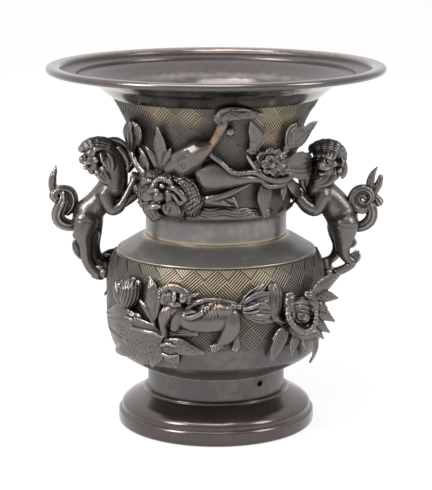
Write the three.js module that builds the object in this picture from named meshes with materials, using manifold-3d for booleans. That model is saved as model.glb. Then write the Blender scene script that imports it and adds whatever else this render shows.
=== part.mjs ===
// A cast bronze vase on a flared foot, with a wide trumpet mouth, two lion-dog handles, and lion-dogs,
// peonies and leaves in high relief round the neck and the belly. Millimetres, +Z up, the front of the
// vase towards -Y, and the origin at the middle of the foot's underside.
import * as THREE from "three";
import { mergeVertices } from "three/addons/utils/BufferGeometryUtils.js";
import Module from "manifold-3d";

const wasm = await Module();
wasm.setup();

// Driving dimensions of the vessel.
const HEIGHT = 230;
const RIM_RADIUS = 106;
const NECK_RADIUS = 44.5;
const BELLY_RADIUS = 69.3;
const FOOT_RADIUS = 62.8;
const COLLAR_RADIUS = 43.6;
const WALL = 3.6;

// Heights of the joints and bands.
const FOOT_BAND_TOP = 9.8;
const COLLAR_BOTTOM = 23.6;
const LEDGE = 36.2;
const BELLY_BOTTOM = 38;
const SHOULDER_GROOVE = 112.8;
const NECK_BOTTOM = 123.4;
const NECK_BAND_BOTTOM = 138.8;
const NECK_BAND_TOP = 210;

// Fits, and how finely round forms are faceted.
const GAP = 0.3;
const TURN_STEPS = 36;
const SPIGOT_RADIUS = 41.3;
const SPIGOT_DEPTH = 6;
const VENT_RADIUS = 2;
const VENT_HEIGHT = 33.2;
const VENT_ANGLE = 39;
const RIVET_RADIUS = 1.6;
const RIVET_HEAD_RADIUS = 3.4;
const RIVET_HEAD = 1.4;
const LEAF_THICKNESS = 1.5;

const BRONZE = { color: 0x3a332e, roughness: 0.38, metalness: 0.9 };
const RUBBED_BRONZE = { color: 0x4a4038, roughness: 0.42, metalness: 0.9 };

const degrees = THREE.MathUtils.degToRad;

// A closed geometry as a manifold-3d solid.
function solidOf(geometry) {
  const bare = geometry.index ? geometry.toNonIndexed() : geometry.clone();
  bare.deleteAttribute("normal");
  bare.deleteAttribute("uv");
  const merged = mergeVertices(bare, 1e-3);
  const solid = new wasm.Manifold(
    new wasm.Mesh({
      numProp: 3,
      vertProperties: merged.attributes.position.array,
      triVerts: new Uint32Array(merged.index.array),
    }),
  );
  if (solid.volume() <= 0) throw new Error("a solid is inside out");
  return solid;
}

// A manifold-3d solid as a geometry.
function geometryOf(solid) {
  const mesh = solid.getMesh();
  const positions = new Float32Array(mesh.numVert * 3);
  for (let i = 0; i < mesh.numVert; i++) {
    positions.set(mesh.vertProperties.subarray(i * mesh.numProp, i * mesh.numProp + 3), i * 3);
  }
  const geometry = new THREE.BufferGeometry();
  geometry.setAttribute("position", new THREE.BufferAttribute(positions, 3));
  geometry.setIndex(new THREE.BufferAttribute(mesh.triVerts, 1));
  geometry.computeVertexNormals();
  return geometry;
}

function named(name, solid, finish = BRONZE) {
  const mesh = new THREE.Mesh(geometryOf(solid), new THREE.MeshStandardMaterial(finish));
  mesh.name = name;
  return mesh;
}

const joined = (solids) => solids.reduce((whole, piece) => whole.add(piece));

// Turned castings. Each outline runs anticlockwise in (radius, height), and closes on itself or on the
// axis. A flat of the turning, not an edge, faces each handle.
function turned(outline, steps = TURN_STEPS) {
  const geometry = new THREE.LatheGeometry([...outline, outline[0].clone()], steps);
  return solidOf(geometry.rotateX(Math.PI / 2).rotateZ(Math.PI / steps));
}

// The points of a line from its start through further stretches: a pair is a straight run's end, and a
// longer list is a smooth curve's points.
function run(start, ...stretches) {
  const path = new THREE.Path();
  path.moveTo(...start);
  for (const stretch of stretches) {
    if (typeof stretch[0] === "number") path.lineTo(...stretch);
    else path.splineThru(stretch.map((p) => new THREE.Vector2(...p)));
  }
  return path.getPoints(1);
}

// Outer surfaces from bottom to top.
const footOutside = run(
  [FOOT_RADIUS - 2.4, 0],
  [FOOT_RADIUS - 0.5, 1.4],
  [FOOT_RADIUS, 4.5],
  [FOOT_RADIUS - 0.1, FOOT_BAND_TOP - 1.2],
  [FOOT_RADIUS - 1.9, FOOT_BAND_TOP],
  [[60, 13.6], [55, 17.6], [COLLAR_RADIUS + 3, 22.2]],
  [COLLAR_RADIUS + 2.8, COLLAR_BOTTOM - 0.3],
  [COLLAR_RADIUS, COLLAR_BOTTOM],
  [COLLAR_RADIUS + 0.4, BELLY_BOTTOM - GAP],
);
const bellyOutside = run(
  [COLLAR_RADIUS + 0.5, BELLY_BOTTOM],
  [[54, 42.8], [63.6, 49.8], [68, 60], [BELLY_RADIUS, 78], [69.2, 93], [66.8, 106.5],
    [63.4, SHOULDER_GROOVE - 0.8]],
  [62.2, SHOULDER_GROOVE - 0.4],
  [62.9, SHOULDER_GROOVE + 0.3],
  [61.8, SHOULDER_GROOVE + 1],
  [[53.6, 119.2], [NECK_RADIUS + 0.6, NECK_BOTTOM]],
);
const neckOutside = run(
  [NECK_RADIUS, NECK_BOTTOM + GAP],
  [NECK_RADIUS, NECK_BAND_BOTTOM - 0.6],
  [NECK_RADIUS + 1.7, NECK_BAND_BOTTOM],
  [[48.8, 165], [53, 188], [58.2, 200], [NECK_RADIUS + 19.7, NECK_BAND_TOP]],
  [NECK_RADIUS + 20.9, NECK_BAND_TOP + 0.3],
  [[75, 218], [87, 222.4], [101, 224.6]],
  [RIM_RADIUS - 2.6, 225.2],
);

// The radius of the outside at a height, read from the outlines.
const skin = [...footOutside, ...bellyOutside, ...neckOutside];
function radiusAt(height) {
  const top = skin.findIndex((p) => p.y >= height);
  if (top <= 0) return skin[Math.max(top, 0)].x;
  const [a, b] = [skin[top - 1], skin[top]];
  return THREE.MathUtils.mapLinear(height, a.y, b.y, a.x, b.x);
}

// Everything inside the skin and a gap outside it, which the lion handles and relief castings are cut
// to fit. Its flats stand just outside the skin's, so that it can have half as many.
const MOULD_STEPS = TURN_STEPS / 2;
function vesselMould() {
  const outline = skin
    .filter((p) => p.y > COLLAR_BOTTOM)
    .map((p) => new THREE.Vector2((p.x + GAP) / Math.cos(Math.PI / MOULD_STEPS), p.y));
  return turned(
    [new THREE.Vector2(0, outline[0].y), ...outline, new THREE.Vector2(0, outline.at(-1).y)],
    MOULD_STEPS,
  );
}

// A round bar along a direction, from an inner to an outer distance from the axis of the vase.
function radialBar(angle, height, radius, inner, outer) {
  const bar = new THREE.CylinderGeometry(radius, radius, outer - inner, 12);
  bar.translate(0, -(inner + outer) / 2, height);
  return solidOf(bar.rotateZ(degrees(angle)));
}

function neckSection() {
  const inside = run(
    [RIM_RADIUS - 0.4, 226.1],
    [RIM_RADIUS, 227.8],
    [RIM_RADIUS - 1.2, 229.5],
    [RIM_RADIUS - 3.6, HEIGHT],
    [RIM_RADIUS - 7.6, HEIGHT - 0.5],
    [RIM_RADIUS - 9.6, HEIGHT - 3.4],
    [[86, 223.4], [71, 217.2], [60.5, 208], [51.8, 191], [47, 170], [NECK_RADIUS - WALL, NECK_BAND_BOTTOM]],
    [NECK_RADIUS - WALL, NECK_BOTTOM + 3],
    [SPIGOT_RADIUS - 3, NECK_BOTTOM],
    [SPIGOT_RADIUS - 3, NECK_BOTTOM - SPIGOT_DEPTH],
    [SPIGOT_RADIUS, NECK_BOTTOM - SPIGOT_DEPTH],
    [SPIGOT_RADIUS, NECK_BOTTOM + GAP],
  );
  return turned([...neckOutside, ...inside]);
}

const BASE_HOLE_RADIUS = 40;
function bellySection() {
  const mouth = SPIGOT_RADIUS + GAP;
  const inside = run(
    [mouth, NECK_BOTTOM],
    [mouth, NECK_BOTTOM - SPIGOT_DEPTH + 1],
    [[54, 114.6], [60.2, 109], [65, 98], [BELLY_RADIUS - WALL, 80], [64.4, 61], [59.6, 51.8], [51, 46]],
    [BASE_HOLE_RADIUS, BELLY_BOTTOM + WALL],
    [BASE_HOLE_RADIUS, BELLY_BOTTOM],
  );
  return turned([...bellyOutside, ...inside]);
}

function footSection() {
  const [wall, ledge] = [BASE_HOLE_RADIUS - 0.4, BASE_HOLE_RADIUS - 3];
  const inside = run(
    [wall, BELLY_BOTTOM - GAP],
    [wall, LEDGE],
    [ledge, LEDGE],
    [ledge, COLLAR_BOTTOM + 2],
    [[46, 19.6], [54, 14.6], [58, 7]],
    [FOOT_RADIUS - 4.2, 0],
  );
  return turned([...footOutside, ...inside]).subtract(
    radialBar(VENT_ANGLE, VENT_HEIGHT, VENT_RADIUS, 30, COLLAR_RADIUS + 5),
  );
}

// The plate that closes the belly, resting on the ledge of the foot's collar.
function basePlate() {
  const bottom = LEDGE + GAP;
  const radius = BASE_HOLE_RADIUS - 1;
  return turned(run([0, bottom], [radius, bottom], [radius, bottom + 2], [0, bottom + 2.6]));
}

// Modelled forms. A station is a point on a form's midline with half its width and half its thickness.
const station = (at, width, thickness = width) => ({ at, width, thickness });

// A closed form that swells and tapers along its stations. Its width lies across `outward`, which says
// which way the form's face looks at a point.
function swept(stations, outward, sides) {
  const line = new THREE.CatmullRomCurve3(stations.map((s) => s.at), false, "centripetal");
  const spans = stations.length - 1;
  const positions = [];
  const indices = [];
  stations.forEach(({ width, thickness }, i) => {
    const at = line.getPoint(i / spans);
    const tangent = line.getTangent(i / spans);
    const face = outward(at).clone().addScaledVector(tangent, -outward(at).dot(tangent)).normalize();
    const across = new THREE.Vector3().crossVectors(face, tangent);
    for (let k = 0; k < sides; k++) {
      const turn = (k / sides) * 2 * Math.PI;
      const corner = at.clone().addScaledVector(across, width * Math.cos(turn));
      positions.push(corner.addScaledVector(face, thickness * Math.sin(turn)));
    }
  });
  const first = line.getPoint(0).addScaledVector(line.getTangent(0), -0.7 * stations[0].thickness);
  const last = line.getPoint(1).addScaledVector(line.getTangent(1), 0.7 * stations.at(-1).thickness);
  const tips = [positions.push(first) - 1, positions.push(last) - 1];
  for (let k = 0; k < sides; k++) {
    const next = (k + 1) % sides;
    indices.push(tips[0], next, k);
    indices.push(tips[1], spans * sides + k, spans * sides + next);
    for (let i = 0; i < spans; i++) {
      const [a, b] = [i * sides + k, i * sides + next];
      indices.push(a, b, a + sides, b, b + sides, a + sides);
    }
  }
  return solidOf(new THREE.BufferGeometry().setFromPoints(positions).setIndex(indices));
}

// A point on the vase by its angle from the front (positive towards +X), height, and how far it lifts
// off the skin.
function onVase(angle, height, lift) {
  const radius = radiusAt(height) + lift;
  return new THREE.Vector3(radius * Math.sin(degrees(angle)), -radius * Math.cos(degrees(angle)), height);
}
const awayFromAxis = (at) => new THREE.Vector3(at.x, at.y, 0).normalize();

// A relief form from rows of [angle, height, lift, half width, half thickness]. `margin` fattens it
// all round.
const relief = (margin, rows, sides = 5) =>
  swept(
    rows.map(([angle, height, lift, width, thickness = width]) =>
      station(onVase(angle, height, lift), width + margin, thickness + margin)),
    awayFromAxis,
    sides,
  );

// A leaf or petal, ridged down its middle, from its root to its tip.
const blade = (margin, rows) =>
  relief(
    margin,
    rows.map((row) => [...row, LEAF_THICKNESS]),
    4,
  );

// Limbs, then leaves and petals, as one casting's forms.
const casting = (limbs, blades) => (margin) => [
  ...limbs.map((rows) => relief(margin, rows)),
  ...blades.map((rows) => blade(margin, rows)),
];

// The lion-dog that dives through the flowers of the neck, its head low and its rump and tail high:
// back, thigh, head, mane, tail, tuft and the rocks below, then a sprig under its paw.
const neckLion = casting(
  [
    [[-31, 160, 4, 8], [-20, 171, 7, 8.6], [-10, 182, 7.6, 6.6], [-4.5, 187, 6, 3.8]],
    [[-10, 176, 6, 7], [-3, 169.4, 7.8, 8], [9, 167.6, 7.6, 4.8], [32, 165.4, 6.4, 2.8]],
    [[-31, 157.6, 7, 8], [-36, 154.6, 9, 8.4], [-41, 152.4, 10.6, 5.6]],
    [[-20, 168, 6, 4.4], [-17, 158, 5.4, 6.4, 5], [-22, 146, 4.6, 5, 4]],
    [[-5, 185, 6, 3.4], [-1, 191, 7, 2.8], [2.4, 200, 6.4, 2.6]],
    [[1.4, 202, 5, 3], [8, 207, 4.2, 4.2, 2.2], [24, 207.4, 3, 0.8]],
    [[-24, 146.4, 3, 4.6], [0, 146, 1.2, 4.2, 2.6], [24, 146.4, 1, 3, 2.2]],
  ],
  [
    [[-8, 155.4, 3, 2], [9, 159.6, 5, 2.4], [24, 163, 5, 0.6]],
    [[-8, 155, 3, 2], [3, 151.4, 4.4, 2], [13, 149.2, 4.4, 0.6]],
  ],
);

// The lion-dog that strides through the flowers of the belly: body, head, mane, forelegs, hind legs
// and tail, then the two halves of the tail's fan.
const bellyLion = casting(
  [
    [[-17.4, 93, 6.6, 6.4], [-10, 87.6, 8, 6.6], [0, 87.4, 8.8, 6.6], [5.6, 88.4, 8.4, 7]],
    [[-13, 99.4, 8, 6], [-18, 97.8, 9.4, 6.8], [-23, 95.6, 10.6, 4.2]],
    [[-8, 100.6, 7, 3.6], [-11.6, 94, 8.4, 5]],
    [[-16, 91.7, 8.5, 3.6], [-21.5, 88.2, 9.8, 2.9], [-25, 83.4, 8.6, 2.6]],
    [[-16, 87, 6, 3.4], [-20, 81, 6.3, 2.8], [-23.4, 75, 6, 2.4]],
    [[5, 88, 9, 5.6], [6.6, 81.6, 9.6, 5], [3.6, 73.6, 8.8, 3], [-2.4, 68.4, 7, 2.6]],
    [[7.5, 79, 6, 3], [8.8, 72.6, 6, 2.2], [8, 66.8, 5, 2]],
    [[4, 93, 9, 2.4], [12.6, 94, 7.6, 2]],
  ],
  [
    [[11, 93.4, 6.6, 2.4], [18, 97, 6.8, 4.6], [24, 103.6, 5, 0.6]],
    [[11, 92.4, 6.6, 2.4], [19, 90.2, 7, 4.4], [28, 87.4, 5, 0.8]],
  ],
);

// A peony seen from the front: a rosette of cupped petals in rings, with its heart in the middle. Its
// rim waves in and out with the outer petals, and its face rises and falls with each ring.
const PEONY_STEPS = 14;
const PEONY_RINGS = [
  { reach: 1, petals: 7, rise: 0, wave: 0.08 },
  { reach: 0.7, petals: 7, rise: 3.6, wave: 0.05 },
  { reach: 0.4, petals: 0, rise: 3, wave: 0 },
];
const PEONY_HEART = 4.6;
function peony(margin, angle, height, lift, size) {
  const heart = onVase(angle, height, lift);
  const facing = awayFromAxis(heart);
  const up = new THREE.Vector3(0, 0, 1);
  const right = new THREE.Vector3().crossVectors(facing, up).negate();
  const place = (turn, reach, rise) =>
    heart
      .clone()
      .addScaledVector(right, reach * Math.cos(turn))
      .addScaledVector(up, reach * Math.sin(turn))
      .addScaledVector(facing, rise);
  const rings = [{ ...PEONY_RINGS[0], rise: -lift - 4 }, ...PEONY_RINGS];
  const points = rings.flatMap(({ reach, petals, rise, wave }) =>
    Array.from({ length: PEONY_STEPS }, (_, k) => {
      const turn = (k / PEONY_STEPS) * 2 * Math.PI;
      return place(turn, size * (reach + wave * Math.cos(petals * turn)) + margin, rise + margin);
    }),
  );
  const back = points.push(place(0, 0, rings[0].rise)) - 1;
  const front = points.push(place(0, 0, PEONY_HEART + margin)) - 1;
  const indices = [];
  for (let k = 0; k < PEONY_STEPS; k++) {
    const next = (k + 1) % PEONY_STEPS;
    const last = (rings.length - 1) * PEONY_STEPS;
    indices.push(back, next, k);
    indices.push(front, last + k, last + next);
    for (let ring = 0; ring < last; ring += PEONY_STEPS) {
      const [a, b] = [ring + k, ring + next];
      indices.push(a, b, a + PEONY_STEPS, b, b + PEONY_STEPS, a + PEONY_STEPS);
    }
  }
  return [solidOf(new THREE.BufferGeometry().setFromPoints(points).setIndex(indices))];
}

// The handles' lion-dogs, by distance out from the axis, distance towards the front, height and radius.
function beast(side, rows, outward = new THREE.Vector3(0, -1, 0)) {
  const points = rows.map(([out, front, height, radius]) =>
    station(new THREE.Vector3(side * out, -front, height), radius));
  return swept(points, () => outward, 6);
}

const FAR_ARM = [[66, -5, 146, 5.5], [61, -8, 141, 4.4], [49.8, -5.4, 148, 3.4]];

function lionHandle(side, forms) {
  const pads = [FOOT_PAD, HAND_PAD].map((rows) => beast(side, rows, new THREE.Vector3(0, 0, 1)));
  return joined([...[FAR_ARM, ...forms].map((rows) => beast(side, rows)), ...pads])
    .subtract(vesselMould())
    .subtract(radialBar(side * 90, HANDLE_FOOT_HEIGHT, RIVET_RADIUS + GAP, 60, 76))
    .subtract(radialBar(side * 90, HANDLE_HAND_HEIGHT, RIVET_RADIUS + GAP, 40, 54));
}
const HANDLE_FOOT_HEIGHT = 100.6;
const HANDLE_HAND_HEIGHT = 151;

// Pads that the rivets bite into, where the paws meet the wall.
const FOOT_PAD = [[71, -5.6, 102.4, 3.2], [71, 7, 98, 3.4]];
const HAND_PAD = [[49.5, -5, 149, 3.6], [49.5, 6, 153, 3.4]];

function leftHandle() {
  const trunk = [[65, 0, 151.5, 9.2], [75.5, 0, 141, 8.6], [83, 0, 129.5, 8.8]];
  const throat = [[66, 0.5, 153, 8.6], [67.6, 1, 161, 7.8], [70, 1.5, 169, 7.6]];
  const skull = [[70.6, 1, 174, 7], [75.6, 1.8, 172.4, 7.4], [82, 4.4, 171, 4.8]];
  const jaw = [[75, 3, 166.6, 4.8], [80.4, 4.4, 164.4, 3.4]];
  const lock = [[68, 1, 180, 3], [58.6, 1, 178, 2], [56, 1, 174.4, 1.2]];
  const mane = [[66, 1.4, 176, 5.6], [61.4, 2.4, 167, 5.6], [63, 3.6, 150, 3]];
  const arm = [[69, 6, 148, 5.5], [65.3, 8.5, 140, 4.2], [56.3, 8, 147.6, 2.8], [50.8, 5.5, 159, 2.8]];
  const leg = [[82.6, 4.5, 131, 8], [83.6, 7, 123, 6], [82, 7.6, 108, 3.7], [79, 7.5, 101, 3.4],
    [71, 7, 97.4, 3.2]];
  const farLeg = [[79, -2.5, 131, 7.6], [78.2, -3.4, 115, 4.8], [71, -5.6, 102.8, 3.6]];
  const spur = [[84, 7.2, 107, 1.6], [87.4, 7.2, 113, 2.2], [89.6, 7.2, 119, 0.8]];
  const tail = [[88, 0, 127.4, 3], [97, 0.8, 127.8, 3.4], [101, 2, 134.4, 3.5], [97, 2.4, 145, 3]];
  const curl = [[94.6, -1, 136.8, 2], [91.2, -1.5, 144.6, 3.1], [96, 0.5, 150.6, 3], [102.4, 2, 147, 3]];
  const flame = [[102, 1, 149, 2.8], [102.8, 1, 158, 2.4], [100.9, 1, 166, 0.8]];
  const hind = [leg, farLeg, spur, tail, curl, flame];
  return lionHandle(-1, [trunk, throat, skull, jaw, lock, mane, arm, ...hind]);
}

function rightHandle() {
  const trunk = [[64, 0, 151, 9.2], [75, 0, 140.5, 9.8], [80.5, 0, 127.4, 9.4]];
  const throat = [[65, 0.5, 153, 8.8], [67.6, 1, 168, 8]];
  const skull = [[70, 1, 174.4, 7.4], [67.4, 4, 171.6, 7.6], [64.6, 9, 169.6, 5.4]];
  const ear = [[73, 3, 174, 3.4], [78.4, 3, 171, 2.4], [80.2, 3, 161, 2.4], [79.4, 3, 158, 1.2]];
  const mane = [[61, 3, 170, 4.4], [58, 4, 160, 4.4], [58.6, 4, 149, 2]];
  const ruff = [[73, 3.4, 168, 4], [70, 6, 160, 4.4], [62, 8, 156.4, 1.6]];
  const arm = [[67, 6, 147, 5.5], [62.6, 8, 140, 4.8], [51.6, 8.2, 147, 3.9]];
  const leg = [[81.4, 4.5, 129, 8.6], [80.5, 6.8, 113, 4.4], [86, 7.6, 105, 3.2], [79, 7.6, 99.8, 3.2],
    [71, 7, 98, 3.2]];
  const farLeg = [[78.5, -3, 125, 8], [77.6, -4.8, 111, 4.4], [71, -6, 102.8, 3.2]];
  const spur = [[85, 7.4, 104, 2], [88.2, 7.4, 108.6, 2.4], [89.4, 7.2, 112.8, 0.8]];
  const tail = [[87, 0, 126, 3.2], [97, 1, 130, 3.6], [97.4, 2, 141, 3]];
  const coil = [[97, 2.2, 139.6, 2.8], [87.2, 2.6, 140.4, 2.8], [88.6, 2.6, 150.2, 2.8],
    [97.4, 2.4, 148.6, 2.8], [96.6, 2, 143, 2.6], [91, 2.2, 145, 2.8]];
  const flame = [[97.6, 1, 149, 2.6], [97.4, 1, 155, 2.6], [101.6, 1, 165, 0.8]];
  const fork = [[98.6, 0.6, 148, 2.6], [102.6, 0, 153.8, 2.4], [104, 0, 159, 1.2]];
  const hind = [leg, farLeg, spur, tail, coil, flame, fork];
  return lionHandle(1, [trunk, throat, skull, ear, mane, ruff, arm, ...hind]);
}

// A rivet from inside the vessel into a handle's pad, its domed head against the wall.
function handleRivet(side, height, wallInside, end) {
  const seat = wallInside - GAP;
  const head = radialBar(side * 90, height, RIVET_HEAD_RADIUS, seat - RIVET_HEAD, seat);
  return head.add(radialBar(side * 90, height, RIVET_RADIUS, seat - RIVET_HEAD / 2, end));
}

const SIDES = { left: -1, right: 1 };
const FACES = { front: 0, back: 180 };
const RIVETS = {
  foot: { height: HANDLE_FOOT_HEIGHT, wallInside: radiusAt(HANDLE_FOOT_HEIGHT) - WALL - 2, end: 73 },
  hand: { height: HANDLE_HAND_HEIGHT, wallInside: radiusAt(HANDLE_HAND_HEIGHT) - WALL - 2, end: 51.6 },
};

const vase = new THREE.Group();

let neck = neckSection();
let belly = bellySection();
for (const [side, sign] of Object.entries(SIDES)) {
  for (const [place, { height, wallInside, end }] of Object.entries(RIVETS)) {
    const rivet = handleRivet(sign, height, wallInside, end);
    vase.add(named(`${side}_handle_${place}_rivet`, rivet, RUBBED_BRONZE));
    const hole = radialBar(sign * 90, height, RIVET_RADIUS + GAP, wallInside - 6, end + 3);
    if (place === "foot") belly = belly.subtract(hole);
    else neck = neck.subtract(hole);
  }
}
vase.add(named("neck_and_mouth", neck));
vase.add(named("belly", belly));
vase.add(named("foot", footSection()));
vase.add(named("base_plate", basePlate(), RUBBED_BRONZE));
vase.add(named("left_lion_handle", leftHandle()));
vase.add(named("right_lion_handle", rightHandle()));

// Peonies with their outer petals, the curled rim below the heart and the petals that hang from it.
const neckPeony = (margin) => [
  ...peony(margin, 38.4, 172.6, 5, 9.6),
  ...casting(
    [[[33, 165.4, 7, 2.2], [45.7, 161, 8.6, 2.4], [64.6, 161.6, 8.6, 1.2]]],
    [
      [[36, 176, 4, 3], [27, 179, 7, 4.2], [20.6, 180.4, 7, 1.4]],
      [[36, 172, 4, 3], [27, 172, 8, 4], [22, 171.6, 8, 1.4]],
      [[40, 178, 4, 3], [40, 185, 7, 4.6], [40.4, 190, 6.6, 1.8]],
      [[43, 176, 4, 3], [51, 181.4, 8, 4.6], [57.6, 184.4, 8, 1.6]],
      [[44, 174, 5, 3], [57, 176, 9.6, 5.2], [72, 176.4, 12.6, 1.6]],
      [[44, 170, 5, 3], [58, 169.4, 9.4, 5], [74, 168, 12.6, 1.6]],
      [[41.5, 163, 6, 2.2], [33, 153.4, 6.4, 3.4], [35.4, 140.6, 4, 0.8]],
      [[45.2, 162.4, 6, 2.4], [43.6, 151, 5.8, 3.5], [40.6, 141.8, 4, 1]],
      [[50.3, 161.6, 6, 2.2], [60, 155, 7.6, 3.1], [72, 146.4, 7.6, 0.8]],
    ],
  )(margin),
];
const bellyPeony = (margin) => [
  ...peony(margin, 42, 85, 3, 11),
  ...casting(
    [],
    [
      [[40, 90, 3, 3.4], [36.4, 97.4, 6.6, 4.6], [33, 101.6, 7.4, 1.8]],
      [[43, 91, 3, 3.4], [44.4, 99.4, 6.6, 5], [45, 104.4, 7.2, 2]],
      [[46, 89, 3, 3.4], [51.6, 96.6, 7, 4.6], [55.6, 100.2, 7.6, 1.8]],
      [[46, 86, 4, 3.4], [54.6, 87.6, 7.6, 4.6], [59.6, 88, 8.6, 1.8]],
      [[39, 87, 4, 3.4], [31.6, 90, 7, 4.6], [27.6, 91.6, 7.4, 1.8]],
      [[39, 84, 4, 3.4], [32.4, 81.6, 7.4, 4.4], [28.6, 80.6, 8, 1.6]],
      [[46, 83, 4, 3.4], [53.4, 79.6, 8, 4.4], [57.6, 78, 8.8, 1.6]],
      [[38, 81, 5, 2.4], [31.4, 72.4, 7.6, 3.2], [27.4, 57.6, 5, 1]],
      [[39.4, 79, 6, 2.4], [35.6, 68.6, 7, 3], [33, 58.6, 5, 1]],
      [[41, 78, 6, 2.4], [40.8, 68, 7, 2.8], [40.4, 57, 4.6, 0.8]],
      [[44, 78, 6, 2.4], [46.4, 69, 7.6, 2.8], [48.4, 62.6, 6.4, 1]],
      [[46, 79, 6, 2.4], [53, 64, 8.8, 3.4], [57.2, 52.4, 7.4, 0.8]],
    ],
  )(margin),
];

// Buds on their stalks, and leaves that grow together.
const neckBud = casting(
  [
    [[-54.6, 199, 4.6, 1.6], [-59, 191.4, 6.8, 5.4], [-65.4, 182.5, 5.4, 3.2]],
    [[-66.2, 183.6, 5, 3], [-69.6, 176, 4.2, 2.8], [-62, 166.5, 3.8, 2.8], [-55, 162.7, 3.2, 2.8]],
  ],
  [[[-54, 163.6, 3.2, 2], [-50.8, 174.4, 4.6, 2.6], [-53.6, 185.6, 4, 0.8]]],
);
const bellyBud = casting(
  [
    [[-46, 106, 5, 3], [-44, 99.4, 7.2, 7], [-43.2, 89, 5.5, 2.8]],
    [[-43.7, 90.4, 5.2, 2.4], [-38.2, 80.8, 4.6, 2.3], [-31.4, 74, 4, 2.2]],
  ],
  [[[-43, 87.4, 4.8, 1.6], [-46, 84, 5.4, 2.6], [-50, 79.6, 5, 0.8]]],
);
const neckLeftLeaves = casting(
  [[[-39.4, 171, 3.4, 1.8], [-39, 164, 2, 1.8]]],
  [
    [[-39.5, 168, 3.4, 2], [-38, 183, 5.4, 4.6], [-34.4, 197.9, 5.6, 0.8]],
    [[-39.8, 169, 3.4, 1.8], [-45, 176.4, 4.8, 2.6], [-48.4, 184, 5, 0.8]],
    [[-39.2, 169, 3.4, 1.8], [-34, 176.4, 4.8, 2.5], [-28.7, 184, 5, 0.8]],
  ],
);
const neckRightLeaves = casting(
  [],
  [[[54, 186.4, 2, 2.4], [61, 187.8, 7.6, 5.6], [71.4, 197, 10.4, 1]]],
);
const neckTopLeaves = casting(
  [],
  [
    [[26.6, 184, 2, 2], [24, 190, 5, 3.7], [20, 202.4, 3.6, 0.8]],
    [[26.6, 184.4, 2.4, 1.8], [22, 185.4, 4.8, 2], [18, 185, 4.2, 0.8]],
    [[26.4, 185, 2.4, 1.8], [28.6, 191, 4.6, 2.3], [29.4, 196.4, 4, 0.8]],
  ],
);
const bellyLeftLeaves = casting(
  [[[-27, 75, 2, 2.4], [-25.6, 68, 2, 3]]],
  [
    [[-28.8, 76, 3.4, 1.8], [-32, 94.6, 6.4, 5.2], [-35.4, 108.4, 5.6, 0.8]],
    [[-26.8, 76, 3.4, 1.8], [-26.2, 92, 5.2, 2.2], [-27, 103, 4.8, 0.8]],
    [[-25.6, 72.4, 4, 2.4], [-40, 74.4, 7, 6.2], [-64.5, 70.4, 5, 1]],
    [[-25.6, 71.4, 4, 2.4], [-40.6, 63.6, 6.2, 5.6], [-64.1, 57, 4.2, 1]],
    [[-25.6, 70.8, 4, 2.4], [-17.4, 67.8, 6.4, 4.2], [-6, 65.2, 4.6, 0.8]],
    [[-26, 69.8, 4, 2.4], [-25.8, 61, 5.8, 4.2], [-32.6, 50.8, 3.8, 0.8]],
    [[-25.2, 69.6, 4, 2], [-18.6, 61.6, 5.6, 3.5], [-15.6, 54.4, 4.2, 0.8]],
  ],
);
const bellyRightLeaves = casting(
  [[[51, 96, 2, 2.4], [57, 89, 4.6, 2.6], [54, 77, 4, 2.4]]],
  [
    [[53, 90, 5, 2.4], [61, 96, 11, 4.6], [69.4, 101.8, 13, 0.8]],
    [[53.4, 88.4, 5, 2.4], [60, 89.4, 10.2, 3.9], [68, 88.6, 12.4, 0.8]],
    [[52.4, 83, 5, 2.4], [59, 79.2, 11, 3.7], [65.4, 74.4, 12.4, 0.8]],
    [[52.4, 78, 5, 2.2], [57.6, 71.6, 10.4, 3.2], [63, 67.4, 11.4, 0.8]],
    [[52, 95.4, 4, 2.2], [58.6, 100.8, 8, 3.7], [67.8, 104.4, 10, 0.8]],
  ],
);

// Relief castings, each cut to sit on the skin and to clear those named before it. The same set is on
// the front and, half a turn round, on the back.
const RELIEFS = {
  neck_lion: neckLion,
  neck_peony: neckPeony,
  neck_bud: neckBud,
  neck_left_leaves: neckLeftLeaves,
  neck_right_leaves: neckRightLeaves,
  neck_top_leaves: neckTopLeaves,
  belly_lion: bellyLion,
  belly_peony: bellyPeony,
  belly_bud: bellyBud,
  belly_left_leaves: bellyLeftLeaves,
  belly_right_leaves: bellyRightLeaves,
};
const taken = [vesselMould()];
for (const [name, forms] of Object.entries(RELIEFS)) {
  const piece = joined(forms(0)).subtract(joined(taken));
  taken.push(...forms(GAP));
  for (const [face, turn] of Object.entries(FACES)) {
    const mesh = named(`${face}_${name}`, piece);
    mesh.rotation.z = degrees(turn);
    vase.add(mesh);
  }
}

export default vase;
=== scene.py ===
"""A dark cast bronze vase with lion-dog handles and high relief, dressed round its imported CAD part."""

import logging
import math
from collections.abc import Callable, Sequence
from dataclasses import dataclass
from enum import Enum

import bmesh
import bpy
import numpy as np
from mathutils import Matrix, Vector


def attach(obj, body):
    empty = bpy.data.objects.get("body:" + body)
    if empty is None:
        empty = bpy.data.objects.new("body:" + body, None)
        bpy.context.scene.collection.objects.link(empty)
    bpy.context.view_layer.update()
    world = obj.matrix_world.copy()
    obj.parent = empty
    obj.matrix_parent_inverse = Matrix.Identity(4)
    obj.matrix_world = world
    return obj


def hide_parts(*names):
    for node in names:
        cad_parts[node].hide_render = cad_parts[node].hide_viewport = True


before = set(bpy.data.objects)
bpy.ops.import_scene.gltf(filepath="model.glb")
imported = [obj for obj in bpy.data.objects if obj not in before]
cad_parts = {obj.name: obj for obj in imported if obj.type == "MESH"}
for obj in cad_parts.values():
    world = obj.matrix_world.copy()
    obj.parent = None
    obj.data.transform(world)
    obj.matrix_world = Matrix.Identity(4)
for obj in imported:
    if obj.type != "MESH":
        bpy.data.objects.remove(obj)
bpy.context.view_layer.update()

log = logging.getLogger("vase")

MM = 0.001
FRONT = np.array([0.0, -1.0, 0.0])
UP = np.array([0.0, 0.0, 1.0])

Array = np.ndarray
Rows = Sequence[tuple[float, ...]]


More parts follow.
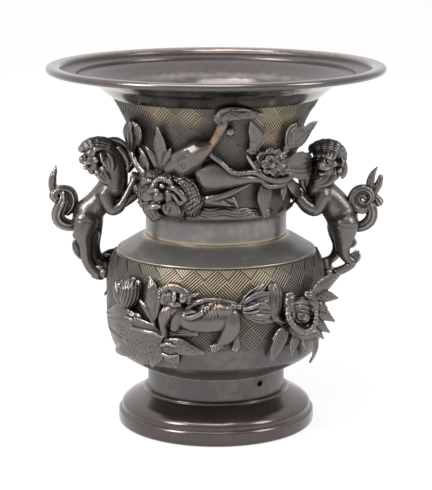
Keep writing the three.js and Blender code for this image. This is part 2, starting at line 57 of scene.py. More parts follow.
def unit(vector: Array) -> Array:
    """Scales vectors to length one.

    Args:
        vector: One vector, or an array with vectors in its last axis.

    Returns:
        The same directions with length one.
    """
    return vector / np.maximum(np.linalg.norm(vector, axis=-1, keepdims=True), 1e-9)


def smooth_line(points: Array, steps: int) -> Array:
    """Runs a centripetal Catmull-Rom curve through rows of numbers.

    Args:
        points: Rows that the curve passes through. The first three columns are the place.
        steps: Samples for each span.

    Returns:
        Rows sampled along the curve.
    """
    rows = np.asarray(points, float)
    if len(rows) < 3 and np.linalg.norm(rows[-1, :3] - rows[0, :3]) < 1e-6:
        return rows
    ends = np.vstack([2 * rows[0] - rows[1], rows, 2 * rows[-1] - rows[-2]])
    gaps = np.sqrt(np.maximum(np.linalg.norm(np.diff(ends[:, :3], axis=0), axis=1), 1e-6))
    knots = np.concatenate([[0.0], np.cumsum(gaps)])
    sampled = []
    for span in range(1, len(ends) - 2):
        t = np.linspace(knots[span], knots[span + 1], steps, endpoint=False)[:, None]
        k0, k1, k2, k3 = knots[span - 1 : span + 3]
        p0, p1, p2, p3 = ends[span - 1 : span + 3]
        a1 = ((k1 - t) * p0 + (t - k0) * p1) / (k1 - k0)
        a2 = ((k2 - t) * p1 + (t - k1) * p2) / (k2 - k1)
        a3 = ((k3 - t) * p2 + (t - k2) * p3) / (k3 - k2)
        b1 = ((k2 - t) * a1 + (t - k0) * a2) / (k2 - k0)
        b2 = ((k3 - t) * a2 + (t - k1) * a3) / (k3 - k1)
        sampled.append(((k2 - t) * b1 + (t - k1) * b2) / (k2 - k1))
    sampled.append(rows[-1:])
    return np.vstack(sampled)


# Modelling in clay
@dataclass(frozen=True)
class Form:
    """One swelling, tapering form of a figure, and how it is modelled.

    Rows hold a place, then half the width there, then half the depth where it differs.
    """

    rows: Rows
    thick: float = 0.0
    blend: float = 1.0
    fold: float = 0.0
    stripes: tuple[float, float] = (0, 0.0)
    flutes: tuple[int, float] = (0, 0.0)
    rings: tuple[float, float] = (1.0, 0.0)
    carve: bool = False
    steps: int = 5


class Clay:
    """A block of modelling clay: distances to its surface on a grid, built up, carved, and cast as a mesh."""

    FAR = 9.0
    THINNEST = 0.15
    ROOM = 1.3
    EDGE = 1.0

    def __init__(self, low: Sequence[float], high: Sequence[float], cell: float) -> None:
        """Lays out an empty block.

        Args:
            low: The block's lowest corner, in millimetres.
            high: The block's highest corner.
            cell: The grid's spacing.
        """
        self.cell = cell
        self.axes = [np.arange(a, b + cell, cell, dtype=np.float32) for a, b in zip(low, high)]
        self.distance = np.full([len(axis) for axis in self.axes], self.FAR, np.float32)

    def window(self, low: Array, high: Array) -> tuple[slice, slice, slice]:
        """Finds the part of the grid between two corners.

        Args:
            low: The lowest corner.
            high: The highest corner.

        Returns:
            A slice for each axis.
        """
        return tuple(
            slice(max(int((a - axis[0]) / self.cell), 0), max(int((b - axis[0]) / self.cell) + 2, 0))
            for a, b, axis in zip(low, high, self.axes)
        )

    def places(self, part: tuple[slice, slice, slice]) -> tuple[Array, Array, Array]:
        """The coordinates of a window's points, shaped to spread over it."""
        x, y, z = (axis[s] for axis, s in zip(self.axes, part))
        return x[:, None, None], y[None, :, None], z[None, None, :]

    def merge(self, part: tuple[slice, slice, slice], shape: Array, blend: float, carve: bool = False) -> None:
        """Adds a shape to the block, or takes it away, with a fillet.

        Args:
            part: The window that the shape's distances cover.
            shape: Distances to the shape.
            blend: The fillet's size.
            carve: Whether the shape is taken away.
        """
        side = -1.0 if carve else 1.0
        held = side * self.distance[part]
        fillet = np.maximum(blend - np.abs(held - shape), 0.0)
        self.distance[part] = side * (np.minimum(held, shape) - fillet * fillet / (4 * blend))

    def limb(self, rows: Array, form: Form, face: Callable[[Array], Array]) -> None:
        """Models a form that swells and tapers along its rows.

        Args:
            rows: Places in the block's millimetres, then half the width and half the depth.
            form: How the form is modelled.
            face: Gives the direction that the form's depth lies along, at a point.
        """
        line = smooth_line(rows, form.steps)
        at, sizes = line[:, :3], np.maximum(line[:, 3:], self.THINNEST)
        reach = sizes.max() * self.ROOM + form.blend + self.EDGE
        whole = self.window(at.min(0) - reach, at.max(0) + reach)
        shape = np.full(self.distance[whole].shape, self.FAR, np.float32)
        if not shape.size:
            return
        starts = [s.start for s in whole]
        run = 0.0
        for a, b, (wide_a, deep_a), (wide_b, deep_b) in zip(at, at[1:], sizes, sizes[1:]):
            length = float(np.linalg.norm(b - a))
            along = (b - a) / max(length, 1e-6) if length > 1e-4 else UP
            outward = np.asarray(face((a + b) / 2), float)
            outward = outward - along * (outward @ along)
            if np.linalg.norm(outward) < 1e-3:
                outward = np.cross(along, [1.0, 0.0, 0.0])
            outward = unit(outward)
            across = np.cross(outward, along)
            near = max(wide_a, wide_b, deep_a, deep_b) * self.ROOM + form.blend + self.EDGE
            part = self.window(np.minimum(a, b) - near, np.maximum(a, b) + near)
            x, y, z = self.places(part)
            x, y, z = x - a[0], y - a[1], z - a[2]
            t = x * along[0] + y * along[1] + z * along[2]
            share = np.clip(t / max(length, 1e-6), 0.0, 1.0)
            rest = t - share * length
            side = x * across[0] + y * across[1] + z * across[2]
            lift = x * outward[0] + y * outward[1] + z * outward[2]
            wide = wide_a + (wide_b - wide_a) * share
            deep = deep_a + (deep_b - deep_a) * share
            if form.fold:
                lift = lift + form.fold * np.abs(side)
            if form.flutes[0]:
                swell = 1 + form.flutes[1] * np.cos(form.flutes[0] * np.arctan2(lift / deep, side / wide))
                wide, deep = wide * swell, deep * swell
            if form.stripes[0]:
                deep = deep * (1 + form.stripes[1] * np.cos(math.pi * form.stripes[0] * side / wide))
            if form.rings[1]:
                swell = 1 + form.rings[1] * np.cos(2 * math.pi * (run + share * length) / form.rings[0])
                wide, deep = wide * swell, deep * swell
            cap = np.minimum(wide, deep)
            outer = np.sqrt((side / wide) ** 2 + (lift / deep) ** 2 + (rest / cap) ** 2)
            inner = np.sqrt((side / wide**2) ** 2 + (lift / deep**2) ** 2 + (rest / cap**2) ** 2)
            local = outer * (outer - 1) / np.maximum(inner, 1e-5)
            target = tuple(slice(s.start - o, s.start - o + n) for s, o, n in zip(part, starts, local.shape))
            shape[target] = np.minimum(shape[target], local)
            run += length
        self.merge(whole, shape, form.blend, form.carve)

    def cast(self) -> tuple[Array, Array]:
        """Finds the clay's surface.

        Returns:
            Its vertices, in millimetres, and its four-sided faces.
        """
        d = np.pad(self.distance, 1, constant_values=self.FAR)
        shape = np.array(d.shape)
        total = np.zeros((int(np.prod(shape)), 3), np.float32)
        count = np.zeros(int(np.prod(shape)), np.int32)
        strides = np.array([shape[1] * shape[2], shape[2], 1])
        quads = []
        for axis in range(3):
            a = np.take(d, range(shape[axis] - 1), axis)
            b = np.take(d, range(1, shape[axis]), axis)
            spots = np.argwhere((a < 0) != (b < 0))
            da, db = a[tuple(spots.T)], b[tuple(spots.T)]
            place = spots.astype(np.float32)
            place[:, axis] += da / (da - db)
            home = spots @ strides
            one, two = strides[(axis + 1) % 3], strides[(axis + 2) % 3]
            ring = np.stack([home, home - one, home - one - two, home - two], 1)
            for corner in ring.T:
                for k in range(3):
                    total[:, k] += np.bincount(corner, place[:, k], len(total)).astype(np.float32)
                count += np.bincount(corner, minlength=len(count)).astype(np.int32)
            quads.append(np.where((da < 0)[:, None], ring, ring[:, ::-1]))
        used = np.flatnonzero(count)
        label = np.zeros(len(count), np.int64)
        label[used] = np.arange(len(used))
        corner = np.array([axis[0] for axis in self.axes]) - self.cell
        return total[used] / count[used, None] * self.cell + corner, label[np.vstack(quads)]


class Surface:
    """A cast surface: its places in millimetres, its faces, and what is measured on them."""

    SOFTENING = (0.5, -0.52)
    SURROUNDINGS = 14
    PROUDEST = 95

    def __init__(self, vertices: Array, faces: Array) -> None:
        """Keeps the largest connected part of the surface, without specks of clay.

        Args:
            vertices: Places in millimetres.
            faces: Rows of four vertex numbers.
        """
        edges = np.vstack([faces[:, [0, 1]], faces[:, [1, 2]], faces[:, [2, 3]]])
        label = np.arange(len(vertices))
        while True:
            low = np.minimum(label[edges[:, 0]], label[edges[:, 1]])
            fresh = label.copy()
            np.minimum.at(fresh, edges[:, 0], low)
            np.minimum.at(fresh, edges[:, 1], low)
            fresh = fresh[fresh]
            if np.array_equal(fresh, label):
                break
            label = fresh
        largest = np.bincount(label).argmax()
        kept = label == largest
        if not kept.all():
            log.info("%d of %d points are loose and left out", (~kept).sum(), len(kept))
        number = np.cumsum(kept) - 1
        self.vertices = vertices[kept].astype(float)
        self.faces = number[faces[kept[faces[:, 0]]]]
        sides = np.vstack([self.faces[:, [k, (k + 1) % 4]] for k in range(4)])
        self.ends = np.concatenate([sides[:, 0], sides[:, 1]])
        self.others = np.concatenate([sides[:, 1], sides[:, 0]])
        self.degree = np.maximum(np.bincount(self.ends, minlength=len(self.vertices)), 1)

    def around(self, values: Array) -> Array:
        """The mean of each vertex's neighbours."""
        size = len(self.vertices)
        return np.stack([np.bincount(self.ends, v[self.others], size) / self.degree for v in values.T], 1)

    def ease(self) -> None:
        """Softens the grid's steps without shrinking the surface."""
        for amount in self.SOFTENING:
            self.vertices += amount * (self.around(self.vertices) - self.vertices)

    def wear(self) -> Array:
        """Measures how far each place stands proud of its surroundings, as hands and cloths find it.

        Returns:
            One number for each vertex: about 1 on a crest, 0.5 on the flat, and 0 in a hollow.
        """
        v, f = self.vertices, self.faces
        facing = np.cross(v[f[:, 2]] - v[f[:, 0]], v[f[:, 3]] - v[f[:, 1]])
        normal = np.zeros_like(v)
        for corner in f.T:
            for axis in range(3):
                normal[:, axis] += np.bincount(corner, facing[:, axis], len(v))
        smooth = v
        for _ in range(self.SURROUNDINGS):
            smooth = self.around(smooth)
        proud = np.einsum("ij,ij->i", v - smooth, unit(normal))
        proud = proud - np.median(proud)
        scale = max(float(np.percentile(np.abs(proud), self.PROUDEST)), 1e-6)
        return np.clip(0.5 + 0.5 * proud / scale, 0, 1)


def near_spots(places: Array, spots: Rows) -> Array:
    """How near places are to the spots where hands have rubbed through the patina.

    Args:
        places: Places in millimetres.
        spots: A place each, with how far round it the rubbing goes.

    Returns:
        One number for each place, from 0 to 1.
    """
    share = np.zeros(len(places))
    for x, y, z, reach in spots:
        away = ((places - (x, y, z)) ** 2).sum(1)
        share = np.maximum(share, np.exp(-away / reach**2))
    return share


def hang(name: str, data: bpy.types.ID) -> bpy.types.Object:
    """Makes an object and puts it in the scene.

    Args:
        name: Its name.
        data: Its mesh, lamp or camera.

    Returns:
        The object.
    """
    made = bpy.data.objects.new(name, data)
    bpy.context.scene.collection.objects.link(made)
    return made


def mark(mesh: bpy.types.Mesh, name: str, values: Array) -> None:
    """Stores a number for each vertex."""
    mesh.attributes.new(name, "FLOAT", "POINT").data.foreach_set("value", values.astype(np.float32))


def places_of(mesh: bpy.types.Mesh) -> Array:
    """Reads where a mesh's vertices are.

    Args:
        mesh: The mesh.

    Returns:
        Rows of three numbers, in metres.
    """
    places = np.empty(len(mesh.vertices) * 3, np.float32)
    mesh.vertices.foreach_get("co", places)
    return places.reshape(-1, 3)


def settle(piece: bpy.types.Object, modifier: bpy.types.Modifier) -> None:
    """Keeps what a modifier makes as the piece's plain mesh, and takes the modifier off.

    Args:
        piece: The piece.
        modifier: Its one modifier.
    """
    shaped = piece.evaluated_get(bpy.context.evaluated_depsgraph_get())
    mesh = bpy.data.meshes.new_from_object(shaped)
    piece.modifiers.remove(modifier)
    piece.data = mesh


def casting(name: str, vertices: Array, faces: Array, attributes: dict[str, Array]) -> bpy.types.Object:
    """Makes a mesh object from places in millimetres.

    Args:
        name: The object's name.
        vertices: The places.
        faces: Rows of vertex numbers.
        attributes: Numbers for each vertex, by name.

    Returns:
        The object, at the origin.
    """
    mesh = bpy.data.meshes.new(name)
    mesh.vertices.add(len(vertices))
    mesh.vertices.foreach_set("co", (vertices * MM).astype(np.float32).ravel())
    mesh.loops.add(faces.size)
    mesh.loops.foreach_set("vertex_index", faces.astype(np.int32).ravel())
    mesh.polygons.add(len(faces))
    mesh.polygons.foreach_set("loop_start", np.arange(0, faces.size, faces.shape[1], dtype=np.int32))
    mesh.update(calc_edges=True)
    for key, values in attributes.items():
        mark(mesh, key, values)
    mesh.shade_smooth()
    return hang(name, mesh)


# Node trees
class Signal:
    """A socket's value in a node tree, so that sums on it are written as sums."""

    def __init__(self, graph: "Graph", socket: bpy.types.NodeSocket) -> None:
        """Wraps an output socket."""
        self.graph = graph
        self.socket = socket

    def __add__(self, other: "Signal | float") -> "Signal":
        """Adds."""
        return self.graph.math("ADD", self, other)

    def __sub__(self, other: "Signal | float") -> "Signal":
        """Takes another value from this one."""
        return self.graph.math("SUBTRACT", self, other)

    def __rsub__(self, other: float) -> "Signal":
        """Takes this value from a number."""
        return self.graph.math("SUBTRACT", other, self)

    def __mul__(self, other: "Signal | float") -> "Signal":
        """Multiplies."""
        return self.graph.math("MULTIPLY", self, other)

    def __truediv__(self, other: "Signal | float") -> "Signal":
        """Divides by another value."""
        return self.graph.math("DIVIDE", self, other)

    def __mod__(self, other: "Signal | float") -> "Signal":
        """The remainder after dividing by another value."""
        return self.graph.math("FLOORED_MODULO", self, other)

    def __gt__(self, other: "Signal | float") -> "Signal":
        """1 where this value is the greater, else 0."""
        return self.graph.math("GREATER_THAN", self, other)

    __rmul__ = __mul__

    def eased(self, low: float, high: float) -> "Signal":
        """0 below low, 1 above high, and a smooth step between."""
        ends = {0: self, 1: low, 2: high}
        return self.graph.node("ShaderNodeMapRange", ends, interpolation_type="SMOOTHSTEP")


class Graph:
    """Builds nodes in one tree."""

    def __init__(self, tree: bpy.types.NodeTree) -> None:
        """Takes the tree to build in."""
        self.tree = tree

    @classmethod
    def of(cls, owner: bpy.types.Material | bpy.types.World) -> "Graph":
        """The tree of a material or world, emptied."""
        owner.use_nodes = True
        owner.node_tree.nodes.clear()
        return cls(owner.node_tree)

    def node(
        self,
        kind: str,
        inputs: dict[int | str, object] | None = None,
        output: int | str = 0,
        **settings: object,
    ) -> Signal:
        """Makes a node.

        Args:
            kind: Its type.
            inputs: Values or signals for its sockets, by name or number.
            output: The output socket that is wanted.
            settings: Its own properties, set first.

        Returns:
            That output.
        """
        made = self.tree.nodes.new(kind)
        for key, value in settings.items():
            setattr(made, key, value)
        for key, value in (inputs or {}).items():
            if isinstance(value, Signal):
                self.tree.links.new(value.socket, made.inputs[key])
            else:
                made.inputs[key].default_value = value
        return Signal(self, made.outputs[output] if len(made.outputs) else None)

    def math(self, operation: str, *values: Signal | float) -> Signal:
        """A Math node on one or more values."""
        return self.node("ShaderNodeMath", dict(enumerate(values)), operation=operation)

    def vector(self, x: Signal | float, y: Signal | float, z: Signal | float) -> Signal:
        """A vector from its three parts."""
        return self.node("ShaderNodeCombineXYZ", {0: x, 1: y, 2: z})

    def part(self, vector: Signal, axis: str) -> Signal:
        """One of a vector's three parts."""
        return self.node("ShaderNodeSeparateXYZ", {0: vector}, axis)

    def mix(self, share: Signal | float, low: Signal | Sequence[float], high: Signal | Sequence[float]) -> Signal:
        """Blends two colours.

        Args:
            share: How much of the second colour shows.
            low: The first colour.
            high: The second colour.

        Returns:
            The blend.
        """
        colours = {k: v if isinstance(v, Signal) else (*v, 1.0) for k, v in ((6, low), (7, high))}
        return self.node("ShaderNodeMix", {0: share, **colours}, 2, data_type="RGBA")

    def noise(self, scale: float, detail: float = 3.0) -> Signal:
        """Noise from 0 to 1 on object coordinates, by its cycles for each metre and its octaves."""
        place = self.node("ShaderNodeTexCoord", output="Object")
        return self.node("ShaderNodeTexNoise", {"Vector": place, "Scale": scale, "Detail": detail})


# Finishes
Colour = tuple[float, float, float]


@dataclass(frozen=True)
class Bronze:
    """Patinated bronze: its colour on crests, flats and in hollows, with its gloss and its fine grain. Its hollow
    colour also carries painted shade from ambient occlusion, in recesses and between parts.
    """

    name: str
    body: Colour
    crest: Colour
    # The colour of hollows: dark patina there, and also the painted shade that ambient occlusion lays in recesses and
    # between parts.
    hollow: Colour
    tint: Colour
    gloss: float
    dull: float
    metal: float
    crest_from: float = 0.6
    tint_share: float = 0.5
    patches: float = 26.0
    rub: Colour = (0.3, 0.24, 0.18)
    grain: float = 900.0
    bumps: float = 0.12
    # How far ambient occlusion looks for the painted shade in recesses and between parts.
    dirt: float = 0.006
    coat: float = 0.0
    cast: bool = True

    COAT_ROUGHNESS = 0.12
    GRAIN_DEPTH = 0.0006
    SHADE_SAMPLES = 6
    FINE_SHARE = 9
    UNCAST_SHARE = 4

    @property
    def material(self) -> bpy.types.Material:
        """The finish as a material, made once."""
        if self.name in bpy.data.materials:
            return bpy.data.materials[self.name]
        made = bpy.data.materials.new(self.name)
        graph = Graph.of(made)
        wear = graph.node("ShaderNodeAttribute", output="Fac", attribute_name="wear")
        if not self.cast:
            wear = graph.noise(self.patches * self.UNCAST_SHARE)
        patch = graph.noise(self.patches)
        fine = graph.noise(self.patches * self.FINE_SHARE, 5.0)
        grain = graph.noise(self.grain, 2.0)
        # Painted shade: ambient occlusion darkens the colour towards the hollow colour in recesses, under parts and
        # between them.
        reach = {"Distance": self.dirt}
        shade = graph.node("ShaderNodeAmbientOcclusion", reach, "AO", samples=self.SHADE_SAMPLES)
        open_place = shade.eased(0.25, 0.85)
        # The hollow mask: dark patina in the mesh's hollows, from wear, plus painted shade where ambient occlusion
        # finds the place closed in.
        hollow = (1 - wear.eased(0.05, 0.5)) * 0.8 + (1 - open_place) * 0.7
        crest = (wear + (fine - 0.5) * 0.35 + (patch - 0.5) * 0.3).eased(self.crest_from, 1.0)
        tint = (patch + (fine - 0.5) * 0.6).eased(0.45, 0.75) * self.tint_share
        colour = graph.mix(tint, self.body, self.tint)
        colour = graph.mix(crest, colour, self.crest)
        rubbed = graph.node("ShaderNodeAttribute", output="Fac", attribute_name="rubbed")
        rubbed = rubbed * (wear * 0.7 + patch * 0.9 + (fine - 0.5) * 0.8).eased(0.35, 0.95)
        colour = graph.mix(rubbed, colour, self.rub)
        colour = graph.mix(graph.math("MINIMUM", hollow, 1.0), colour, self.hollow)
        roughness = self.dull - (self.dull - self.gloss) * (wear.eased(0.3, 0.9) * 0.8 + fine * 0.2)
        bumps = {"Strength": self.bumps, "Distance": self.GRAIN_DEPTH, "Height": grain * 0.4 + fine}
        look = {
            "Base Color": colour,
            "Metallic": self.metal,
            "Roughness": roughness,
            "Coat Weight": self.coat,
            "Coat Roughness": self.COAT_ROUGHNESS,
            "Normal": graph.node("ShaderNodeBump", bumps),
        }
        surface = graph.node("ShaderNodeBsdfPrincipled", look)
        graph.node("ShaderNodeOutputMaterial", {"Surface": surface})
        return made


DUSTY = Bronze(
    name="dusty_grey_bronze",
    body=(0.16, 0.15, 0.147),
    crest=(0.28, 0.25, 0.215),
    hollow=(0.04, 0.035, 0.032),
    tint=(0.25, 0.228, 0.205),
    rub=(0.5, 0.42, 0.3),
    gloss=0.2,
    dull=0.38,
    metal=0.62,
    crest_from=0.75,
    tint_share=0.9,
    patches=24.0,
)
DARK_GREY = Bronze(
    name="dark_grey_bronze",
    body=(0.1, 0.09, 0.088),
    crest=(0.24, 0.21, 0.18),
    hollow=(0.03, 0.026, 0.024),
    tint=(0.15, 0.132, 0.122),
    rub=(0.4, 0.33, 0.24),
    gloss=0.18,
    dull=0.36,
    metal=0.7,
    crest_from=0.75,
    tint_share=0.8,
    patches=24.0,
)
FOOT_BROWN = Bronze(
    name="brown_foot_bronze",
    body=(0.085, 0.066, 0.061),
    crest=(0.2, 0.15, 0.12),
    hollow=(0.02, 0.016, 0.014),
    tint=(0.13, 0.1, 0.088),
    gloss=0.14,
    dull=0.3,
    metal=0.9,
    crest_from=0.75,
    patches=24.0,
    coat=0.5,
)
RIM_DARK = Bronze(
    name="dark_rim_bronze",
    body=(0.105, 0.09, 0.083),
    crest=(0.26, 0.19, 0.14),
    hollow=(0.02, 0.016, 0.014),
    tint=(0.15, 0.115, 0.095),
    gloss=0.12,
    dull=0.27,
    metal=0.9,
    crest_from=0.8,
    patches=24.0,
    coat=0.7,
)
INSIDE = Bronze(
    name="plum_inside_bronze",
    body=(0.1, 0.084, 0.082),
    crest=(0.32, 0.29, 0.26),
    hollow=(0.03, 0.024, 0.022),
    tint=(0.13, 0.108, 0.1),
    gloss=0.14,
    dull=0.32,
    metal=0.88,
    patches=20.0,
)
PIN = Bronze(
    name="rivet_bronze",
    body=(0.13, 0.115, 0.105),
    crest=(0.3, 0.25, 0.2),
    hollow=(0.03, 0.026, 0.023),
    tint=(0.17, 0.14, 0.11),
    gloss=0.24,
    dull=0.42,
    metal=0.9,
    patches=60.0,
    cast=False,
)
PLATE = Bronze(
    name="raw_base_bronze",
    body=(0.09, 0.078, 0.066),
    crest=(0.16, 0.135, 0.11),
    hollow=(0.03, 0.026, 0.023),
    tint=(0.14, 0.11, 0.08),
    gloss=0.4,
    dull=0.6,
    metal=0.8,
    patches=40.0,
    cast=False,
)
RELIEF = Bronze(
    name="relief_bronze",
    body=(0.16, 0.148, 0.142),
    crest=(0.33, 0.31, 0.297),
    hollow=(0.02, 0.017, 0.015),
    tint=(0.15, 0.122, 0.1),
    rub=(0.42, 0.255, 0.15),
    gloss=0.09,
    dull=0.31,
    metal=0.86,
    crest_from=0.66,
    tint_share=0.9,
    patches=85.0,
    bumps=0.3,
    # Reach of the painted shade from ambient occlusion.
    dirt=0.009,
)
# The hatch ground: dark bronze, kept darker than the plain bands, which paints the shade in the gaps between the
# wickerwork ribs.
GROUND = Bronze(
    name="hatch_ground_bronze",
    body=(0.08, 0.07, 0.058),
    crest=(0.12, 0.106, 0.086),
    hollow=(0.03, 0.027, 0.023),
    tint=(0.12, 0.1, 0.078),
    rub=(0.12, 0.1, 0.07),
    gloss=0.36,
    dull=0.52,
    metal=0.8,
    # A wide reach, so ambient occlusion paints shade round the reliefs and under the ribs.
    dirt=0.012,
)
RUBBED = Bronze(
    name="rubbed_hatch_bronze",
    body=(0.115, 0.103, 0.092),
    crest=(0.19, 0.172, 0.15),
    hollow=(0.03, 0.027, 0.022),
    tint=(0.15, 0.132, 0.106),
    rub=(0.48, 0.39, 0.26),
    gloss=0.45,
    dull=0.58,
    metal=0.55,
    crest_from=0.5,
    patches=38.0,
    tint_share=0.8,
    # Reach of the painted shade from ambient occlusion.
    dirt=0.012,
)


# The vessel
class Tool:
    """A Geometry Nodes tree with named inputs, run once on a piece and taken off again."""

    KINDS = {int: "NodeSocketInt", float: "NodeSocketFloat", bpy.types.Material: "NodeSocketMaterial"}

    def __init__(self, name: str, **sizes: float | int | bpy.types.Material) -> None:
        """Opens the tree.

        Args:
            name: The tree's name.
            sizes: Its inputs and the values that this run gives them.
        """
        self.tree = bpy.data.node_groups.new(name, "GeometryNodeTree")
        self.graph = Graph(self.tree)
        self.sizes = {}
        self.tree.interface.new_socket("Geometry", in_out="INPUT", socket_type="NodeSocketGeometry")
        self.tree.interface.new_socket("Geometry", in_out="OUTPUT", socket_type="NodeSocketGeometry")
        for key, value in sizes.items():
            kind = next(socket for base, socket in self.KINDS.items() if isinstance(value, base))
            label = key.replace("_", " ").capitalize()
            self.sizes[self.tree.interface.new_socket(label, in_out="INPUT", socket_type=kind).identifier] = value
        self.entry = self.tree.nodes.new("NodeGroupInput")
        self.labels = ["geometry", *sizes]

    def __getattr__(self, key: str) -> Signal:
        """One of the tree's inputs, by name."""
        if key in self.__dict__.get("labels", ()):
            return Signal(self.graph, self.entry.outputs[self.labels.index(key)])
        raise AttributeError(key)

    def run(self, base: bpy.types.Object, result: Signal) -> None:
        """Ends the tree, runs it, and keeps what it makes as a plain mesh.

        Args:
            base: The object whose mesh the tree takes in and which gets the new one.
            result: The finished geometry. It is realized and given the input named finish.
        """
        graph = self.graph
        whole = graph.node("GeometryNodeRealizeInstances", {0: result})
        dressed = graph.node("GeometryNodeSetMaterial", {"Geometry": whole, "Material": self.finish})
        out = self.tree.nodes.new("NodeGroupOutput")
        self.tree.links.new(dressed.socket, out.inputs[0])
        modifier = base.modifiers.new(self.tree.name, "NODES")
        modifier.node_group = self.tree
        for identifier, value in self.sizes.items():
            modifier[identifier] = value
        settle(base, modifier)
        base.data.name = base.name


class Outline:
    """A turned piece's section: radius and height in millimetres, from point to point."""

    CURVE_STEPS = 8
    SPACING = 1.6
    BEVEL = 0.35
    SHARPEST = math.radians(22)
    BEVEL_SHARE = 0.45

    def __init__(self, start: tuple[float, float], *stretches: tuple[float, float] | list[tuple[float, float]]) -> None:
        """Draws the section.

        Args:
            start: The first point.
            stretches: Each a point at the end of a straight run, or a list of points on a smooth curve.
        """
        line = [np.array([start], float)]
        for stretch in stretches:
            if isinstance(stretch, list):
                knots = np.vstack([line[-1][-1:], np.array(stretch, float)])
                flat = np.hstack([knots[:, :1], np.zeros((len(knots), 1)), knots[:, 1:]])
                line.append(smooth_line(flat, self.CURVE_STEPS)[1:, [0, 2]])
            else:
                line.append(np.array([stretch], float))
        self.points = np.vstack(line)

    def joined(self, *others: "Outline") -> "Outline":
        """This outline and others, end to end."""
        whole = Outline((0, 0))
        whole.points = np.vstack([self.points, *(other.points for other in others)])
        return whole

    def closed(self) -> Array:
        """Closes the section, breaks its sharp edges and spaces points along it.

        Returns:
            The points, with the first one again at the end.
        """
        ring = self.points
        before, after = np.roll(ring, 1, 0) - ring, np.roll(ring, -1, 0) - ring
        line = []
        for at, back, on in zip(ring, before, after):
            turn = float(np.clip(-(unit(back) @ unit(on)), -1, 1))
            if turn > math.cos(self.SHARPEST):
                line.append(at)
                continue
            room = min(self.BEVEL, np.linalg.norm(back) * self.BEVEL_SHARE, np.linalg.norm(on) * self.BEVEL_SHARE)
            first, last = at + unit(back) * room, at + unit(on) * room
            line += [first, (first + 2 * at + last) / 4, last]
        line.append(line[0])
        spaced = [line[0]]
        for a, b in zip(line, line[1:]):
            steps = max(1, math.ceil(np.linalg.norm(b - a) / self.SPACING))
            spaced += [a + (b - a) * k / steps for k in range(1, steps + 1)]
        return np.array(spaced)


FOOT_RADIUS = 62.8
COLLAR_RADIUS = 43.6
BELLY_RADIUS = 69.3
NECK_RADIUS = 44.5
RIM_RADIUS = 106.0
HEIGHT = 230.0
WALL = 3.6
FOOT_TOP = 38.0
SHOULDER = 112.8
NECK_BOTTOM = 123.4
BAND_BOTTOM = 138.8
BAND_TOP = 210.0
RIM_SHELF = 228.0
VENT = (39.0, 33.2, 2.0)
BELLY_BAND_BOTTOM = 62.8
BELLY_BAND_TOP = SHOULDER - 0.8
FOOT_STEP = 23.8
SHOULDER_LINE = 112.9

FOOT_SIDE = Outline(
    (FOOT_RADIUS - 2.4, 0),
    [(FOOT_RADIUS - 0.5, 1.4), (FOOT_RADIUS, 4.5), (FOOT_RADIUS - 0.1, 8.6)],
    (FOOT_RADIUS - 0.9, 9.8),
    (FOOT_RADIUS - 1.9, 10.1),
    [(60.4, 13.2), (57, 16.4), (52, 19.2), (46.6, 22.2)],
    (46.4, 23.3),
    (COLLAR_RADIUS + 0.2, 23.6),
    [(COLLAR_RADIUS, 30), (COLLAR_RADIUS + 0.4, FOOT_TOP)],
)
BELLY_SIDE = Outline(
    (COLLAR_RADIUS + 0.5, FOOT_TOP),
    [(48, 40), (54, 42.8), (60, 46.5), (64, 50), (66.3, 54.5), (68, 60), (69, 68), (BELLY_RADIUS, 86), (69.2, 94),
     (68.4, 100.5), (66.8, 106.5), (63.4, 112)],
    (62.2, 112.4),
    [(62.9, 112.9), (62.7, 113.6)],
    (61.8, 113.8),
    [(58, 116.4), (52, 120), (NECK_RADIUS + 0.6, NECK_BOTTOM)],
)
NECK_SIDE = Outline(
    (NECK_RADIUS, NECK_BOTTOM),
    (NECK_RADIUS, BAND_BOTTOM - 0.6),
    (NECK_RADIUS + 1.7, BAND_BOTTOM),
    [(48.8, 165), (51.2, 180), (54.2, 192), (58.2, 200), (61, 204.7), (64.2, BAND_TOP)],
    (65.4, BAND_TOP + 0.3),
    [(75, 218), (85, 221.8), (96, 224), (101, 224.6)],
    (102.6, 224.9),
)
RIM = Outline(
    (103.4, 225.2),
    [(105.5, 226.1), (RIM_RADIUS, 227.8), (104.9, 229.5), (102.4, HEIGHT)],
    (98.4, HEIGHT - 0.5),
    (97.4, HEIGHT - 1.4),
    (96.4, HEIGHT - 3.4),
)
THROAT = Outline(
    (95.4, 226),
    [(90, 224.7), (88.6, 224.3)],
    (88.2, 225),
    [(87.6, 225.3), (87, 224.9)],
    (86.6, 223.5),
    [(82, 222.2), (76, 219.6), (66, 214.6), (60.5, 208), (54.6, 198), (50, 185), (47, 170), (44, 150),
     (NECK_RADIUS - WALL, BAND_BOTTOM)],
    (NECK_RADIUS - WALL, NECK_BOTTOM),
)
BELLY_INSIDE = Outline(
    (NECK_RADIUS - WALL, NECK_BOTTOM),
    [(48, 118.6), (59, 111), (65, 99), (65.7, 84), (64.6, 62), (58, 50), (48, 43.6), (COLLAR_RADIUS - WALL, FOOT_TOP)],
)
FOOT_INSIDE = Outline(
    (COLLAR_RADIUS - WALL, FOOT_TOP),
    (COLLAR_RADIUS - WALL, 26),
    [(46, 20.4), (53, 16.2), (57, 12)],
    (58.6, 8),
    (58.6, 0),
)


